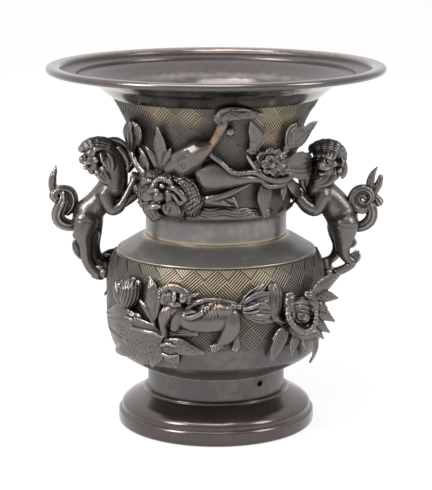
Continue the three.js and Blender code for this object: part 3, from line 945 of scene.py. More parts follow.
class Skin:
    """The outside of the vessel, which the relief castings sit on."""

    def __init__(self, *sides: Outline) -> None:
        """Joins outlines from bottom to top."""
        line = np.vstack([side.points for side in sides])
        order = np.argsort(line[:, 1], kind="stable")
        self.radii, self.heights = line[order, 0], line[order, 1]

    def radius(self, height: Array | float) -> Array:
        """The outside's radius at a height."""
        return np.interp(height, self.heights, self.radii)

    def place(self, angle: float, height: float, lift: float) -> Array:
        """A point on the vase.

        Args:
            angle: Degrees from the front, positive towards +X.
            height: Millimetres from the foot.
            lift: How far it stands off the skin.

        Returns:
            The point.
        """
        r = float(self.radius(height)) + lift
        turn = math.radians(angle)
        return np.array([r * math.sin(turn), -r * math.cos(turn), height])

    def spots(self, rows: Rows) -> list[tuple[float, ...]]:
        """Rows of angle, height, lift and reach as places with how far round them the rubbing goes."""
        return [(*self.place(*row[:3]), row[3]) for row in rows]

    @staticmethod
    def outward(at: Array) -> Array:
        """The level direction away from the vase's axis at a point."""
        return unit(np.array([at[0], at[1], 0.0]))

    def trim(self, clay: Clay, sunk: float) -> None:
        """Cuts clay back to the skin.

        Args:
            clay: The block to cut.
            sunk: How far below the skin it still reaches.
        """
        x, y, z = clay.places((slice(None),) * 3)
        heights = np.arange(0.0, HEIGHT, 0.5)
        slope = np.gradient(self.radius(heights), heights)
        lean = 1 / np.hypot(1, np.interp(z, heights, slope))
        off = (np.sqrt(x * x + y * y) - self.radius(z) + sunk) * lean
        clay.distance = np.maximum(clay.distance, -off.astype(np.float32))


SKIN = Skin(FOOT_SIDE, BELLY_SIDE, NECK_SIDE)


@dataclass(frozen=True)
class Turned:
    """A piece of the vessel that was cast and turned true, with the bands of it that lie under the hatching."""

    name: str
    section: Outline
    bands: tuple[tuple[float, Bronze], ...]
    rubbed: tuple[tuple[float, float], ...] = ()
    holes: Rows = ()
    segments: int = 192

    SHARP_FROM = math.radians(40)
    DRILL_LENGTH = 16.0
    DRILL_SIDES = 40
    WORN_AWAY = 1.6
    EDGE_ROUNDS = 4

    def build(self) -> bpy.types.Object:
        """Turns the section round the vase's axis.

        Returns:
            The piece.
        """
        line = self.section.closed()
        places = np.stack([line[:, 0], np.zeros(len(line)), line[:, 1]], 1) * MM
        mesh = bpy.data.meshes.new(self.name)
        mesh.from_pydata(places.tolist(), [(k, k + 1) for k in range(len(line) - 1)], [])
        mark(mesh, "wear", self.edge_wear(line))
        piece = hang(self.name, mesh)
        tool = Tool("turn_round_axis", segments=self.segments, finish=self.bands[0][1].material)
        tool.run(piece, self.turn(tool))
        for hole in self.holes:
            self.pierce(piece, *hole)
        self.dress(piece.data)
        return piece

    @staticmethod
    def turn(tool: Tool) -> Signal:
        """Wires the nodes that sweep a section round the axis.

        Args:
            tool: The tree, which takes in the section's points.

        Returns:
            The turned surface, with the points' wear.
        """
        graph = tool.graph
        count = graph.node("GeometryNodeAttributeDomainSize", {0: tool.geometry})
        sheet = graph.node("GeometryNodeMeshGrid", {2: tool.segments + 1, 3: count})
        index = graph.node("GeometryNodeInputIndex")
        row = index % count
        turn = graph.math("FLOOR", index / count) * (2 * math.pi) / tool.segments
        place = {0: tool.geometry, 1: graph.node("GeometryNodeInputPosition"), 2: row}
        at = graph.node("GeometryNodeSampleIndex", place, data_type="FLOAT_VECTOR")
        radius, height = graph.part(at, "X"), graph.part(at, "Z")
        round_axis = graph.vector(radius * graph.math("SINE", turn), -1 * (radius * graph.math("COSINE", turn)), height)
        named = graph.node("GeometryNodeInputNamedAttribute", {0: "wear"})
        worn = graph.node("GeometryNodeSampleIndex", {0: tool.geometry, 1: named, 2: row})
        body = graph.node("GeometryNodeSetPosition", {0: sheet, 2: round_axis})
        body = graph.node("GeometryNodeStoreNamedAttribute", {0: body, 2: "wear", 3: worn})
        body = graph.node("GeometryNodeMergeByDistance", {0: body, 2: 1e-6})
        return graph.node("GeometryNodeSetShadeSmooth", {0: body})

    def dress(self, mesh: bpy.types.Mesh) -> None:
        """Gives each band and the inside its finish, and marks the lines that hands have rubbed.

        Args:
            mesh: The turned piece's mesh.
        """
        mesh.materials.clear()
        for _, finish in self.bands:
            mesh.materials.append(finish.material)
        mesh.materials.append(INSIDE.material)
        for face in mesh.polygons:
            height = face.center.z / MM
            outside = face.normal.x * face.center.x + face.normal.y * face.center.y > 0 or height > RIM_SHELF
            bands = [number for number, (top, _) in enumerate(self.bands) if height < top]
            face.material_index = bands[0] if outside else len(self.bands)
        heights = places_of(mesh)[:, 2] / MM
        lines = (np.exp(-(((heights - height) / reach) ** 2)) for height, reach in self.rubbed)
        mark(mesh, "rubbed", sum(lines, 0 * heights))
        mesh.set_sharp_from_angle(angle=self.SHARP_FROM)

    def pierce(self, piece: bpy.types.Object, angle: float, height: float, radius: float) -> None:
        """Drills a round hole through the wall, towards the axis.

        Args:
            piece: The turned piece.
            angle: Degrees from the front, positive towards +X.
            height: The hole's height, in millimetres.
            radius: Its radius.
        """
        outward = Vector((math.sin(math.radians(angle)), -math.cos(math.radians(angle)), 0))
        turn = outward.to_track_quat("Z", "Y").to_matrix().to_4x4()
        middle = outward * COLLAR_RADIUS * MM + Vector((0, 0, height * MM))
        work = bmesh.new()
        size = {"radius1": radius * MM, "radius2": radius * MM, "depth": self.DRILL_LENGTH * MM}
        aimed = Matrix.Translation(middle) @ turn
        bmesh.ops.create_cone(work, cap_ends=True, segments=self.DRILL_SIDES, matrix=aimed, **size)
        mesh = bpy.data.meshes.new("drill")
        work.to_mesh(mesh)
        work.free()
        drill = hang("drill", mesh)
        cut = piece.modifiers.new("hole", "BOOLEAN")
        cut.operation, cut.object, cut.solver = "DIFFERENCE", drill, "EXACT"
        settle(piece, cut)
        bpy.data.objects.remove(drill)

    def edge_wear(self, line: Array) -> Array:
        """Measures where hands have rubbed the section's edges.

        Args:
            line: The closed section.

        Returns:
            A number for each of its points: 1 on a proud edge, 0.5 on the flat and 0 in a corner.
        """
        smooth = line[:-1]
        for _ in range(self.EDGE_ROUNDS):
            smooth = (np.roll(smooth, 1, 0) + np.roll(smooth, -1, 0)) / 2
        along = np.roll(line[:-1], -1, 0) - np.roll(line[:-1], 1, 0)
        outward = unit(np.stack([along[:, 1], -along[:, 0]], 1))
        proud = np.einsum("ij,ij->i", line[:-1] - smooth, outward)
        return np.append(np.clip(0.5 + proud * self.WORN_AWAY, 0, 1), 0.5)


@dataclass(frozen=True)
class Hatching:
    """A band of wickerwork: lozenges of fine ribs that lean one way in one row and the other way in the next."""

    name: str
    bottom: float
    top: float
    columns: int
    rows: int
    radius: float
    rubbed: Rows = ()
    ribs: int = 8
    lean: float = 45.0
    height: float = 1.0

    MARGIN = 8.0
    LEVELS = 60
    SIDES = 144
    RIB_WIDTH = 0.56
    RIB_REACH = 1.06
    SWELL = 1.03
    END_TAPER = 0.02
    SIDE_TAPER = 0.25
    RAY_LENGTH = 0.3

    def build(self) -> bpy.types.Object:
        """Lays the ribs on the vessel's skin.

        Returns:
            The piece.
        """
        piece = self.ground()
        side = 2 * math.pi * self.radius / self.columns / (2 * math.cos(math.radians(self.lean)))
        tool = Tool(
            "wickerwork",
            columns=self.columns,
            rows=self.rows,
            bottom=self.bottom * MM,
            pitch=side * math.sin(math.radians(self.lean)) * MM,
            rib_length=side * self.RIB_REACH * MM,
            rib_pitch=side / self.ribs * MM,
            rib_height=self.height * MM,
            radius=self.radius * MM,
            finish=RUBBED.material,
        )
        points, facing, scale = self.spread(tool)
        combs = {0: points, 2: self.lozenge(tool), 5: facing, 6: tool.graph.vector(scale, scale, 1.0)}
        tool.run(piece, tool.graph.node("GeometryNodeInstanceOnPoints", combs))
        self.cut_ends(piece)
        mark(piece.data, "rubbed", near_spots(places_of(piece.data) / MM, SKIN.spots(self.rubbed)))
        return piece

    def spread(self, tool: Tool) -> tuple[Signal, Signal, Signal]:
        """Wires the nodes that spread the lozenges over the skin.

        Args:
            tool: The tree, which takes in the skin.

        Returns:
            Points on the skin, how the lozenge on each is turned, and its scale.
        """
        graph = tool.graph
        index = graph.node("GeometryNodeInputIndex")
        row = graph.math("FLOOR", index / tool.columns)
        odd = row % 2
        turn = (index % tool.columns + odd * 0.5) * (2 * math.pi) / tool.columns
        points = graph.node("GeometryNodePoints", {0: tool.columns * tool.rows})
        outward = graph.vector(graph.math("SINE", turn), -1 * graph.math("COSINE", turn), 0.0)
        start = graph.vector(0.0, 0.0, tool.bottom + row * tool.pitch)
        rays = {0: tool.geometry, 2: start, 3: outward, 4: self.RAY_LENGTH}
        at = graph.node("GeometryNodeRaycast", rays, "Hit Position")
        normal = graph.node("GeometryNodeRaycast", rays, "Hit Normal")
        reach = graph.node("GeometryNodeRaycast", rays, "Hit Distance")
        points = graph.node("GeometryNodeSetPosition", {0: points, 2: at})
        facing = graph.node("FunctionNodeAlignRotationToVector", {2: normal}, axis="Z")
        facing = graph.node("FunctionNodeAlignRotationToVector", {0: facing, 2: UP}, axis="Y", pivot_axis="Z")
        tilt = (1 - 2 * odd) * math.radians(self.lean)
        tilt = graph.node("FunctionNodeAxisAngleToRotation", {0: UP, 1: tilt})
        facing = graph.node("FunctionNodeRotateRotation", {0: facing, 1: tilt}, rotation_space="LOCAL")
        return points, facing, reach / tool.radius * self.SWELL

    def lozenge(self, tool: Tool) -> Signal:
        """Wires the nodes of one lozenge: ribs side by side, narrower at the top and bent to the vessel's curve.

        Args:
            tool: The tree.

        Returns:
            The ribs.
        """
        graph = tool.graph
        size = graph.vector(tool.rib_length, tool.rib_pitch * self.RIB_WIDTH, tool.rib_height)
        bar = graph.node("GeometryNodeMeshCube", {0: size, 1: 4})
        place = graph.node("GeometryNodeInputPosition")
        x, y, z = (graph.part(place, axis) for axis in "XYZ")
        top = z > 0.0
        sag = x * x / (2 * tool.radius)
        ridge = graph.vector(x * (1 - top * self.END_TAPER), y * (1 - top * self.SIDE_TAPER), z - sag)
        bar = graph.node("GeometryNodeSetPosition", {0: bar, 2: ridge})
        bar = graph.node("GeometryNodeStoreNamedAttribute", {0: bar, 2: "wear", 3: top})
        half = (self.ribs - 1) / 2
        first, step = graph.vector(0.0, -half * tool.rib_pitch, 0.0), graph.vector(0.0, tool.rib_pitch, 0.0)
        line = graph.node("GeometryNodeMeshLine", {0: self.ribs, 2: first, 3: step})
        return graph.node("GeometryNodeInstanceOnPoints", {0: line, 2: bar})

    def ground(self) -> bpy.types.Object:
        """Makes the part of the skin that the ribs are laid on, carried on in a straight line above the band.

        Returns:
            The skin, as an object with the piece's name.
        """
        heights = np.linspace(self.bottom - self.MARGIN, self.top + self.MARGIN, self.LEVELS)
        turns = np.linspace(0, 2 * math.pi, self.SIDES + 1)[:-1]
        slope = float(SKIN.radius(self.top) - SKIN.radius(self.top - 1))
        r = np.where(heights > self.top, SKIN.radius(self.top) + slope * (heights - self.top), SKIN.radius(heights))
        level = np.outer(heights, np.ones(self.SIDES))
        grid = np.stack([np.outer(r, np.sin(turns)), -np.outer(r, np.cos(turns)), level], -1)
        number = np.arange(self.LEVELS * self.SIDES).reshape(self.LEVELS, self.SIDES)
        across = np.roll(number, -1, 1)
        faces = np.stack([number[:-1], across[:-1], across[1:], number[1:]], -1).reshape(-1, 4)
        return casting(self.name, grid.reshape(-1, 3), faces, {})

    def cut_ends(self, piece: bpy.types.Object) -> None:
        """Cuts the ribs off level at the top and bottom of the band, and closes the cuts.

        Args:
            piece: The ribs.
        """
        work = bmesh.new()
        work.from_mesh(piece.data)
        for height, outward in ((self.bottom, -1), (self.top, 1)):
            everything = work.verts[:] + work.edges[:] + work.faces[:]
            plane = {"plane_co": (0, 0, height * MM), "plane_no": (0, 0, outward)}
            cut = bmesh.ops.bisect_plane(work, geom=everything, clear_outer=True, **plane)
            rim = [edge for edge in cut["geom_cut"] if isinstance(edge, bmesh.types.BMEdge) and edge.is_boundary]
            bmesh.ops.holes_fill(work, edges=rim, sides=8)
        work.to_mesh(piece.data)
        work.free()


def both_faces(*rows: tuple[float, float, float]) -> Rows:
    """Rubbed places on the skin, as angle, height and reach, on the front and again on the back."""
    return [(angle + 180 * back, height, 0, reach) for angle, height, reach in rows for back in (0, 1)]


BELLY_RUBBED = both_faces((-16, 101, 15), (-4, 101, 15), (8, 101, 15), (20, 101, 15))
NECK_RUBBED = both_faces((-15, 205, 7), (-34, 208, 9), (30, 206, 10), (44, 196, 12), (36, 188, 8))


@dataclass(frozen=True)
class Vessel:
    """The vase itself: a spreading foot, a full belly with a shoulder, and a trumpet neck with a wide rolled rim."""

    segments: int = 192

    def build(self) -> None:
        """Builds the three turned pieces and the two hatched bands."""
        foot = Turned(
            "foot_turned",
            FOOT_SIDE.joined(FOOT_INSIDE),
            bands=((FOOT_STEP, FOOT_BROWN), (HEIGHT, DARK_GREY)),
            holes=(VENT,),
            segments=self.segments,
        )
        belly = Turned(
            "belly_turned",
            BELLY_SIDE.joined(BELLY_INSIDE),
            bands=((BELLY_BAND_BOTTOM, DARK_GREY), (BELLY_BAND_TOP, GROUND), (HEIGHT, DUSTY)),
            rubbed=((SHOULDER_LINE, 0.6), (NECK_BOTTOM, 0.9)),
            segments=self.segments,
        )
        neck = Turned(
            "neck_turned",
            NECK_SIDE.joined(RIM, THROAT),
            bands=((BAND_BOTTOM, DUSTY), (BAND_TOP, GROUND), (2 * HEIGHT, RIM_DARK)),
            rubbed=((NECK_BOTTOM, 0.9),),
            segments=self.segments,
        )
        for turned, node in ((foot, "foot"), (belly, "belly"), (neck, "neck_and_mouth")):
            place(turned.build(), "dark_bronze", node)
        belly_band = Hatching("belly_hatching", BELLY_BAND_BOTTOM, BELLY_BAND_TOP, 30, 9, 68.5, BELLY_RUBBED, 7)
        neck_band = Hatching("neck_hatching", BAND_BOTTOM, BAND_TOP, 24, 13, 50.5, NECK_RUBBED)
        for band in (belly_band, neck_band):
            place(band.build(), "dark_bronze")


def place(piece: bpy.types.Object, slot: str, *nodes: str) -> None:
    """Puts a finished piece on the vase's one body and reports it.

    Args:
        piece: The piece.
        slot: Not used.
        nodes: The CAD nodes that it stands for.
    """
    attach(piece, "root")
    if nodes:
        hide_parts(*nodes)
    log.info("%s: %d faces", piece.name, len(piece.data.polygons))


# Figures and plants
class Work(Enum):
    """The ways in which a relief's parts are modelled, each named after the method of the figure that does it."""

    LIMB = "form"
    CURLS = "curl"
    LEAF = "leaf"
    PETAL = "petal"
    SCORE = "score"
    COMB = "comb"


class Model:
    """A figure in clay, with the ways of modelling that its parts share."""

    REACH = 26.0
    NEAR = 3.0
    FOLD_GROOVE = 0.42
    VEIN_GROOVE = 0.3
    VEIN_POINTS = 6
    NARROWEST_VEINED = 1.4

    def __init__(self, clay: Clay, spot: Callable[..., Array], face: Callable[[Array], Array]) -> None:
        """Takes up the clay.

        Args:
            clay: The block.
            spot: Turns the first three numbers of a row into a place in the block.
            face: Gives the direction that a form's depth lies along, at a place.
        """
        self.clay = clay
        self.spot = spot
        self.face = face

    def stations(self, rows: Rows, thick: float = 0.0) -> Array:
        """Rows as places with half widths and half depths."""
        return np.array([[*self.spot(*row[:3]), row[3], thick or (row[4] if len(row) > 4 else row[3])] for row in rows])

    def form(self, form: Form) -> None:
        """Models one form."""
        self.clay.limb(self.stations(form.rows, form.thick), form, self.face)

    def strand(self, points: Array, radii: Sequence[float], blend: float = 0.5, carve: bool = False) -> None:
        """Models a round strand through places, or carves it as a groove."""
        sizes = np.array(radii, float)[:, None]
        self.clay.limb(np.hstack([points, sizes, sizes]), Form((), blend=blend, carve=carve, steps=3), self.face)

    def lay(self, points: Array, reach: float = REACH) -> Array:
        """Moves places, along the way they face, onto the clay as it stands.

        Args:
            points: The places.
            reach: How far to either side of each place the clay is looked for.

        Returns:
            The places on the clay, or as they were where there is none.
        """
        outward = np.array([self.face(point) for point in points])
        steps = np.arange(reach, -reach, -0.5 * self.clay.cell)
        rays = points + steps[:, None, None] * outward
        low = np.array([axis[0] for axis in self.clay.axes])
        cells = np.rint((rays - low) / self.clay.cell).astype(int)
        inside = (cells >= 0) & (cells < self.clay.distance.shape)
        cells = np.where(inside, cells, 0)
        deep = np.where(inside.all(-1), self.clay.distance[tuple(np.moveaxis(cells, -1, 0))], Clay.FAR)
        first, every = (deep < 0).argmax(0), np.arange(len(points))
        met = (deep < 0).any(0)[:, None]
        return np.where(met, rays[first, every] - deep[first, every, None] * outward, points)

    def stroke(self, line: Array, reach: float = REACH, carve: bool = True) -> None:
        """Draws a tool along the clay, or lays a thread of clay on it.

        Args:
            line: Places with half widths and half depths.
            reach: How far to either side the clay is looked for.
            carve: Whether the tool cuts.
        """
        laid = np.hstack([self.lay(line[:, :3], reach), line[:, 3:]])
        self.clay.limb(laid, Form((), blend=0.15, carve=carve, steps=1), self.face)

    def drawn(self, rows: Rows, wide: float) -> Array:
        """The line that rows describe with two numbers for a place and, where it differs, the tool's half width."""
        return smooth_line(self.stations([(*row[:2], 0.0, row[2] if len(row) > 2 else wide) for row in rows]), 3)

    def score(self, rows: Rows, wide: float) -> None:
        """Draws one line on the clay."""
        self.stroke(self.drawn(rows, wide))

    def comb(self, edges: tuple[Rows, Rows], strokes: int, wide: float, carve: bool = True) -> None:
        """Draws lines side by side on the clay.

        Args:
            edges: The first and the last line, with as many rows each.
            strokes: How many lines there are with those two.
            wide: The tool's half width.
            carve: Whether the tool cuts.
        """
        ends = [self.drawn(rows, wide) for rows in edges]
        for share in np.linspace(0, 1, strokes):
            self.stroke(ends[0] + (ends[1] - ends[0]) * share, carve=carve)

    def curl(self, at: Array, radius: float, outward: Array, hand: int = 1) -> None:
        """Models a tight curl of hair: a ball with a spiral groove.

        Args:
            at: Its middle.
            radius: Its radius.
            outward: The side that the spiral shows on.
            hand: 1 or -1 for the way that it winds.
        """
        self.clay.limb(np.array([[*at, radius, radius]] * 2), Form((), blend=0.35), self.face)
        outward = unit(outward)
        side = unit(np.cross(outward, UP + 0.01))
        above = np.cross(side, outward)
        turns = np.linspace(0, 1.35, 9)
        reach = radius * (0.84 - 0.62 * turns / turns[-1])
        angle = hand * turns * 2 * math.pi
        lift = np.sqrt(np.maximum((radius * 1.04) ** 2 - reach**2, 0))
        points = at + reach[:, None] * (np.cos(angle)[:, None] * side + np.sin(angle)[:, None] * above)
        self.strand(points + lift[:, None] * outward, [max(0.17 * radius, 0.3)] * 9, 0.2, True)

    def paw(self, at: Array, way: Array, size: float) -> None:
        """Models a broad paw with four toes and claws.

        Args:
            at: The middle of its back.
            way: Where the toes point.
            size: Half its width.
        """
        way = unit(way)
        outward = self.face(at)
        outward = unit(outward - way * (outward @ way))
        across = np.cross(outward, way)
        for toe in (-1.5, -0.5, 0.5, 1.5):
            root = at + across * toe * size * 0.5
            knuckle = root + way * size * (1.0 - 0.12 * abs(toe)) + outward * size * 0.2
            tip = knuckle + way * size * 0.55 - outward * size * 0.35
            claw = tip + way * size * 0.4 - outward * size * 0.3
            self.strand(np.array([root, knuckle, tip]), [size * 0.32, size * 0.36, size * 0.27], 0.25)
            self.strand(np.array([tip, claw]), [size * 0.16, size * 0.05], 0.2)

    def tuft(self, rows: Rows, locks: int = 3, spread: float = 0.9) -> None:
        """Models a tuft of hair in pointed locks that lie side by side.

        Args:
            rows: The tuft's midline and half width.
            locks: How many locks it has.
            spread: How far the locks fan out, as a share of the width.
        """
        line = smooth_line(self.stations(rows), 3)
        along = unit(np.gradient(line[:, :3], axis=0))
        for lock in range(locks):
            share = (lock - (locks - 1) / 2) / max(locks - 1, 1) * 2 * spread
            across = np.array([np.cross(self.face(p), a) for p, a in zip(line[:, :3], along)])
            points = line[:, :3] + across * line[:, 3:4] * share
            keep = len(line) - (lock % 2)
            self.strand(points[:keep], line[:keep, 3] * 1.1 / locks ** 0.55, 0.3)

    def leaf(self, rows: Rows, thick: float = 0.85, fold: float = 0.22, veins: int = 4) -> None:
        """Models a leaf blade that is folded along its midrib, with side veins cut in.

        Args:
            rows: Its midline from stalk to tip, and half its width.
            thick: Half its thickness.
            fold: How steeply its halves fall away from the midrib.
            veins: Side veins on each half.
        """
        places = self.stations(rows, thick)
        self.clay.limb(places, Form((), blend=0.5, fold=fold, steps=6), self.face)
        line = smooth_line(places, 6)
        outward = np.array([self.face(p) for p in line[:, :3]])
        along = unit(np.gradient(line[:, :3], axis=0))
        across = unit(np.cross(outward, along))
        spine = np.hstack([line[:, :3], np.full((len(line), 2), self.FOLD_GROOVE)])
        self.stroke(spine, self.NEAR)
        for k in np.linspace(0.18, 0.78, veins) * (len(line) - 1):
            k = int(k)
            wide = line[k, 3]
            if wide < self.NARROWEST_VEINED:
                continue
            for half in (-1, 1):
                end = line[k, :3] + half * across[k] * wide * 0.85 + along[k] * wide * 0.8 - outward[k] * fold * wide
                vein = np.linspace(line[k, :3], end, self.VEIN_POINTS)
                self.stroke(np.hstack([vein, np.full((self.VEIN_POINTS, 2), self.VEIN_GROOVE)]), self.NEAR)

    def petal(self, rows: Rows, thick: float = 0.8, cup: float = 0.25, ribs: int = 5) -> None:
        """Models a petal that is cupped, with fine ribs along it.

        Args:
            rows: Its midline from root to tip, and half its width.
            thick: Half its thickness.
            cup: How far its edges stand up.
            ribs: Ribs along it.
        """
        places = self.stations(rows, thick)
        self.clay.limb(places, Form((), blend=0.4, fold=-cup, stripes=(ribs, 0.34), steps=6), self.face)

    def head(self, at: Array, forward: Array, up: Array, size: float) -> None:
        """Models a lion-dog's head: brow, eyes, broad muzzle, bared teeth, ears and mane.

        Args:
            at: The middle of the skull.
            forward: Where it looks.
            up: Which way its crown is.
            size: The skull's radius.
        """
        ahead = unit(np.asarray(forward, float))
        above = unit(np.asarray(up, float) - ahead * (np.asarray(up, float) @ ahead))
        aside = np.cross(above, ahead)

        def spot(x: float, y: float, z: float) -> Array:
            """A place on the head, in skull radii ahead, aside and above."""
            return at + size * (x * ahead + y * aside + z * above)

        def shape(rows: Rows, blend: float = 0.12, carve: bool = False, flat: bool = False) -> None:
            """Models rows given in skull radii."""
            places = [[*spot(*row[:3]), row[3] * size, (row[4] if len(row) > 4 else row[3]) * size] for row in rows]
            face = (lambda p: above) if flat else (lambda p: p - at)
            self.clay.limb(np.array(places), Form((), blend=blend * size, carve=carve, steps=4), face)

        shape([(-0.2, 0, 0.05, 0.95), (0.2, 0, 0.02, 0.92)])
        shape([(0.55, 0, -0.12, 0.6), (0.95, 0, -0.12, 0.5), (1.2, 0, -0.1, 0.4)], 0.2)
        shape([(0.7, 0, 0.3, 0.2), (1.1, 0, 0.16, 0.18), (1.42, 0, 0.12, 0.18)])
        for side in (-1, 1):
            shape([(1.4, side * 0.16, 0.06, 0.17)] * 2, 0.06)
            brow = [(0.72, side * 0.12, 0.44, 0.15), (0.86, side * 0.42, 0.56, 0.19), (0.55, side * 0.78, 0.38, 0.13)]
            shape(brow, 0.1)
            shape([(0.93, side * 0.4, 0.27, 0.2)] * 2, 0.05, True)
            shape([(0.8, side * 0.4, 0.26, 0.19)] * 2, 0.04)
            shape([(1.02, side * 0.4, 0.26, 0.055)] * 2, 0.02, True)
            lip = [(1.44, side * 0.08, -0.16, 0.13), (1.18, side * 0.44, -0.28, 0.16), (0.72, side * 0.66, -0.3, 0.15),
                   (0.42, side * 0.74, -0.5, 0.13)]
            shape(lip)
            shape([(0.35, side * 0.8, -0.1, 0.3)] * 2)
        shape([(0.62, 0, -0.56, 0.52, 0.12), (1.7, 0, -0.56, 0.5, 0.2)], 0.05, True, True)
        shape([(0.2, 0, -0.72, 0.5, 0.32), (0.85, 0, -0.86, 0.42, 0.2), (1.18, 0, -0.8, 0.28, 0.17)], 0.12, False, True)
        for tooth in range(-3, 4):
            shape([(1.32 - 0.045 * tooth * tooth, tooth * 0.13, -0.4, 0.085)] * 2, 0.03)
            shape([(1.2 - 0.045 * tooth * tooth, tooth * 0.12, -0.67, 0.07)] * 2, 0.03)
        for side in (-1, 1):
            shape([(1.15, side * 0.36, -0.38, 0.1), (1.17, side * 0.36, -0.62, 0.05)], 0.03)
            ear = [(-0.05, side * 0.8, 0.5, 0.26, 0.14), (-0.15, side * 1.2, 0.42, 0.3, 0.13),
                   (0, side * 1.45, 0.1, 0.24, 0.11), (0.12, side * 1.45, -0.2, 0.06, 0.06)]
            shape(ear, 0.06)
            shape([(0.05, side * 1.16, 0.36, 0.12), (0.14, side * 1.4, 0.06, 0.09)], 0.04, True)
            shape([(0.5, side * 0.5, -0.72, 0.34)] * 2, 0.2)
        for aside_share in np.linspace(-0.84, 0.84, 7):
            low = aside_share * aside_share
            lock = [(0.82 - 0.5 * low, aside_share * 0.9, 0.66 - 0.15 * low, 0.2),
                    (0.3, aside_share, 1.04 - 0.3 * low, 0.25), (-0.3, aside_share * 1.08, 1.14 - 0.4 * low, 0.27),
                    (-0.9, aside_share, 0.72 - 0.3 * low, 0.27), (-1.1, aside_share * 0.85, 0.1, 0.2)]
            shape(lock, 0.05)
            shape([lock[0][:3] + (0.24,)] * 2, 0.04)

    def finish(self, name: str, finish: Bronze, spots: Rows = ()) -> bpy.types.Object:
        """Casts the figure.

        Args:
            name: The piece's name.
            finish: Its finish.
            spots: Where the patina is rubbed through: places, with how far round them.

        Returns:
            The piece.
        """
        surface = Surface(*self.clay.cast())
        surface.ease()
        marks = {"wear": surface.wear(), "rubbed": near_spots(surface.vertices, spots)}
        piece = casting(name, surface.vertices, surface.faces, marks)
        piece.data.materials.append(finish.material)
        return piece


@dataclass(frozen=True)
class LionHandle:
    """A lion-dog that rears against the neck of the vase and serves as a handle.

    Rows hold the distance out from the axis, the distance towards the front, the height and the radius.
    """

    PADS = (
        [(71, -5.6, 102.4, 3.2), (71, 7, 98, 3.4)],
        [(49.5, -5, 149, 3.6), (49.5, 6, 153, 3.4)],
    )
    BLOCK = ((44.0, 109.0), (-20.0, 17.0), (89.0, 190.0))

    name: str
    side: int
    trunk: Rows
    limbs: tuple[Rows, ...]
    tails: tuple[Rows, ...]
    tufts: tuple[Rows, ...]
    curls: Rows
    hood: Rows
    paws: tuple[tuple[float, ...], ...]
    head_at: tuple[float, float, float]
    looks: tuple[float, float, float]
    crown: tuple[float, float, float]
    skull: float
    cell: float = 0.42

    def at(self, out: float, front: float, height: float) -> Array:
        """A place, or a direction, in the row frame."""
        return np.array([self.side * out, -front, height])

    def build(self) -> bpy.types.Object:
        """Models and casts the beast.

        Returns:
            The piece.
        """
        (near, far), (front, back), (bottom, top) = self.BLOCK
        low, high = sorted((self.side * near, self.side * far))
        clay = Clay((low, front, bottom), (high, back, top), self.cell)
        model = Model(clay, self.at, lambda p: FRONT)
        model.form(Form(self.trunk))
        for rows in self.limbs:
            model.form(Form(rows, blend=1.8))
        for rows in self.PADS:
            model.form(Form(rows))
        for rows in self.tails:
            model.form(Form(rows, blend=0.6, flutes=(7, 0.09)))
        for rows in self.tufts:
            model.tuft(rows)
        for out, front, height, radius in self.curls:
            model.curl(self.at(out, front, height), radius, FRONT * (1 if front >= 0 else -1) + 0.3 * UP, self.side)
        for paw in self.paws:
            model.paw(self.at(*paw[:3]), self.at(*paw[3:6]), paw[6])
        model.head(self.at(*self.head_at), self.at(*self.looks), self.at(*self.crown), self.skull)
        model.form(Form(self.hood, blend=0.3, flutes=(19, 0.05), rings=(3.4, 0.05)))
        return model.finish(self.name, RELIEF)


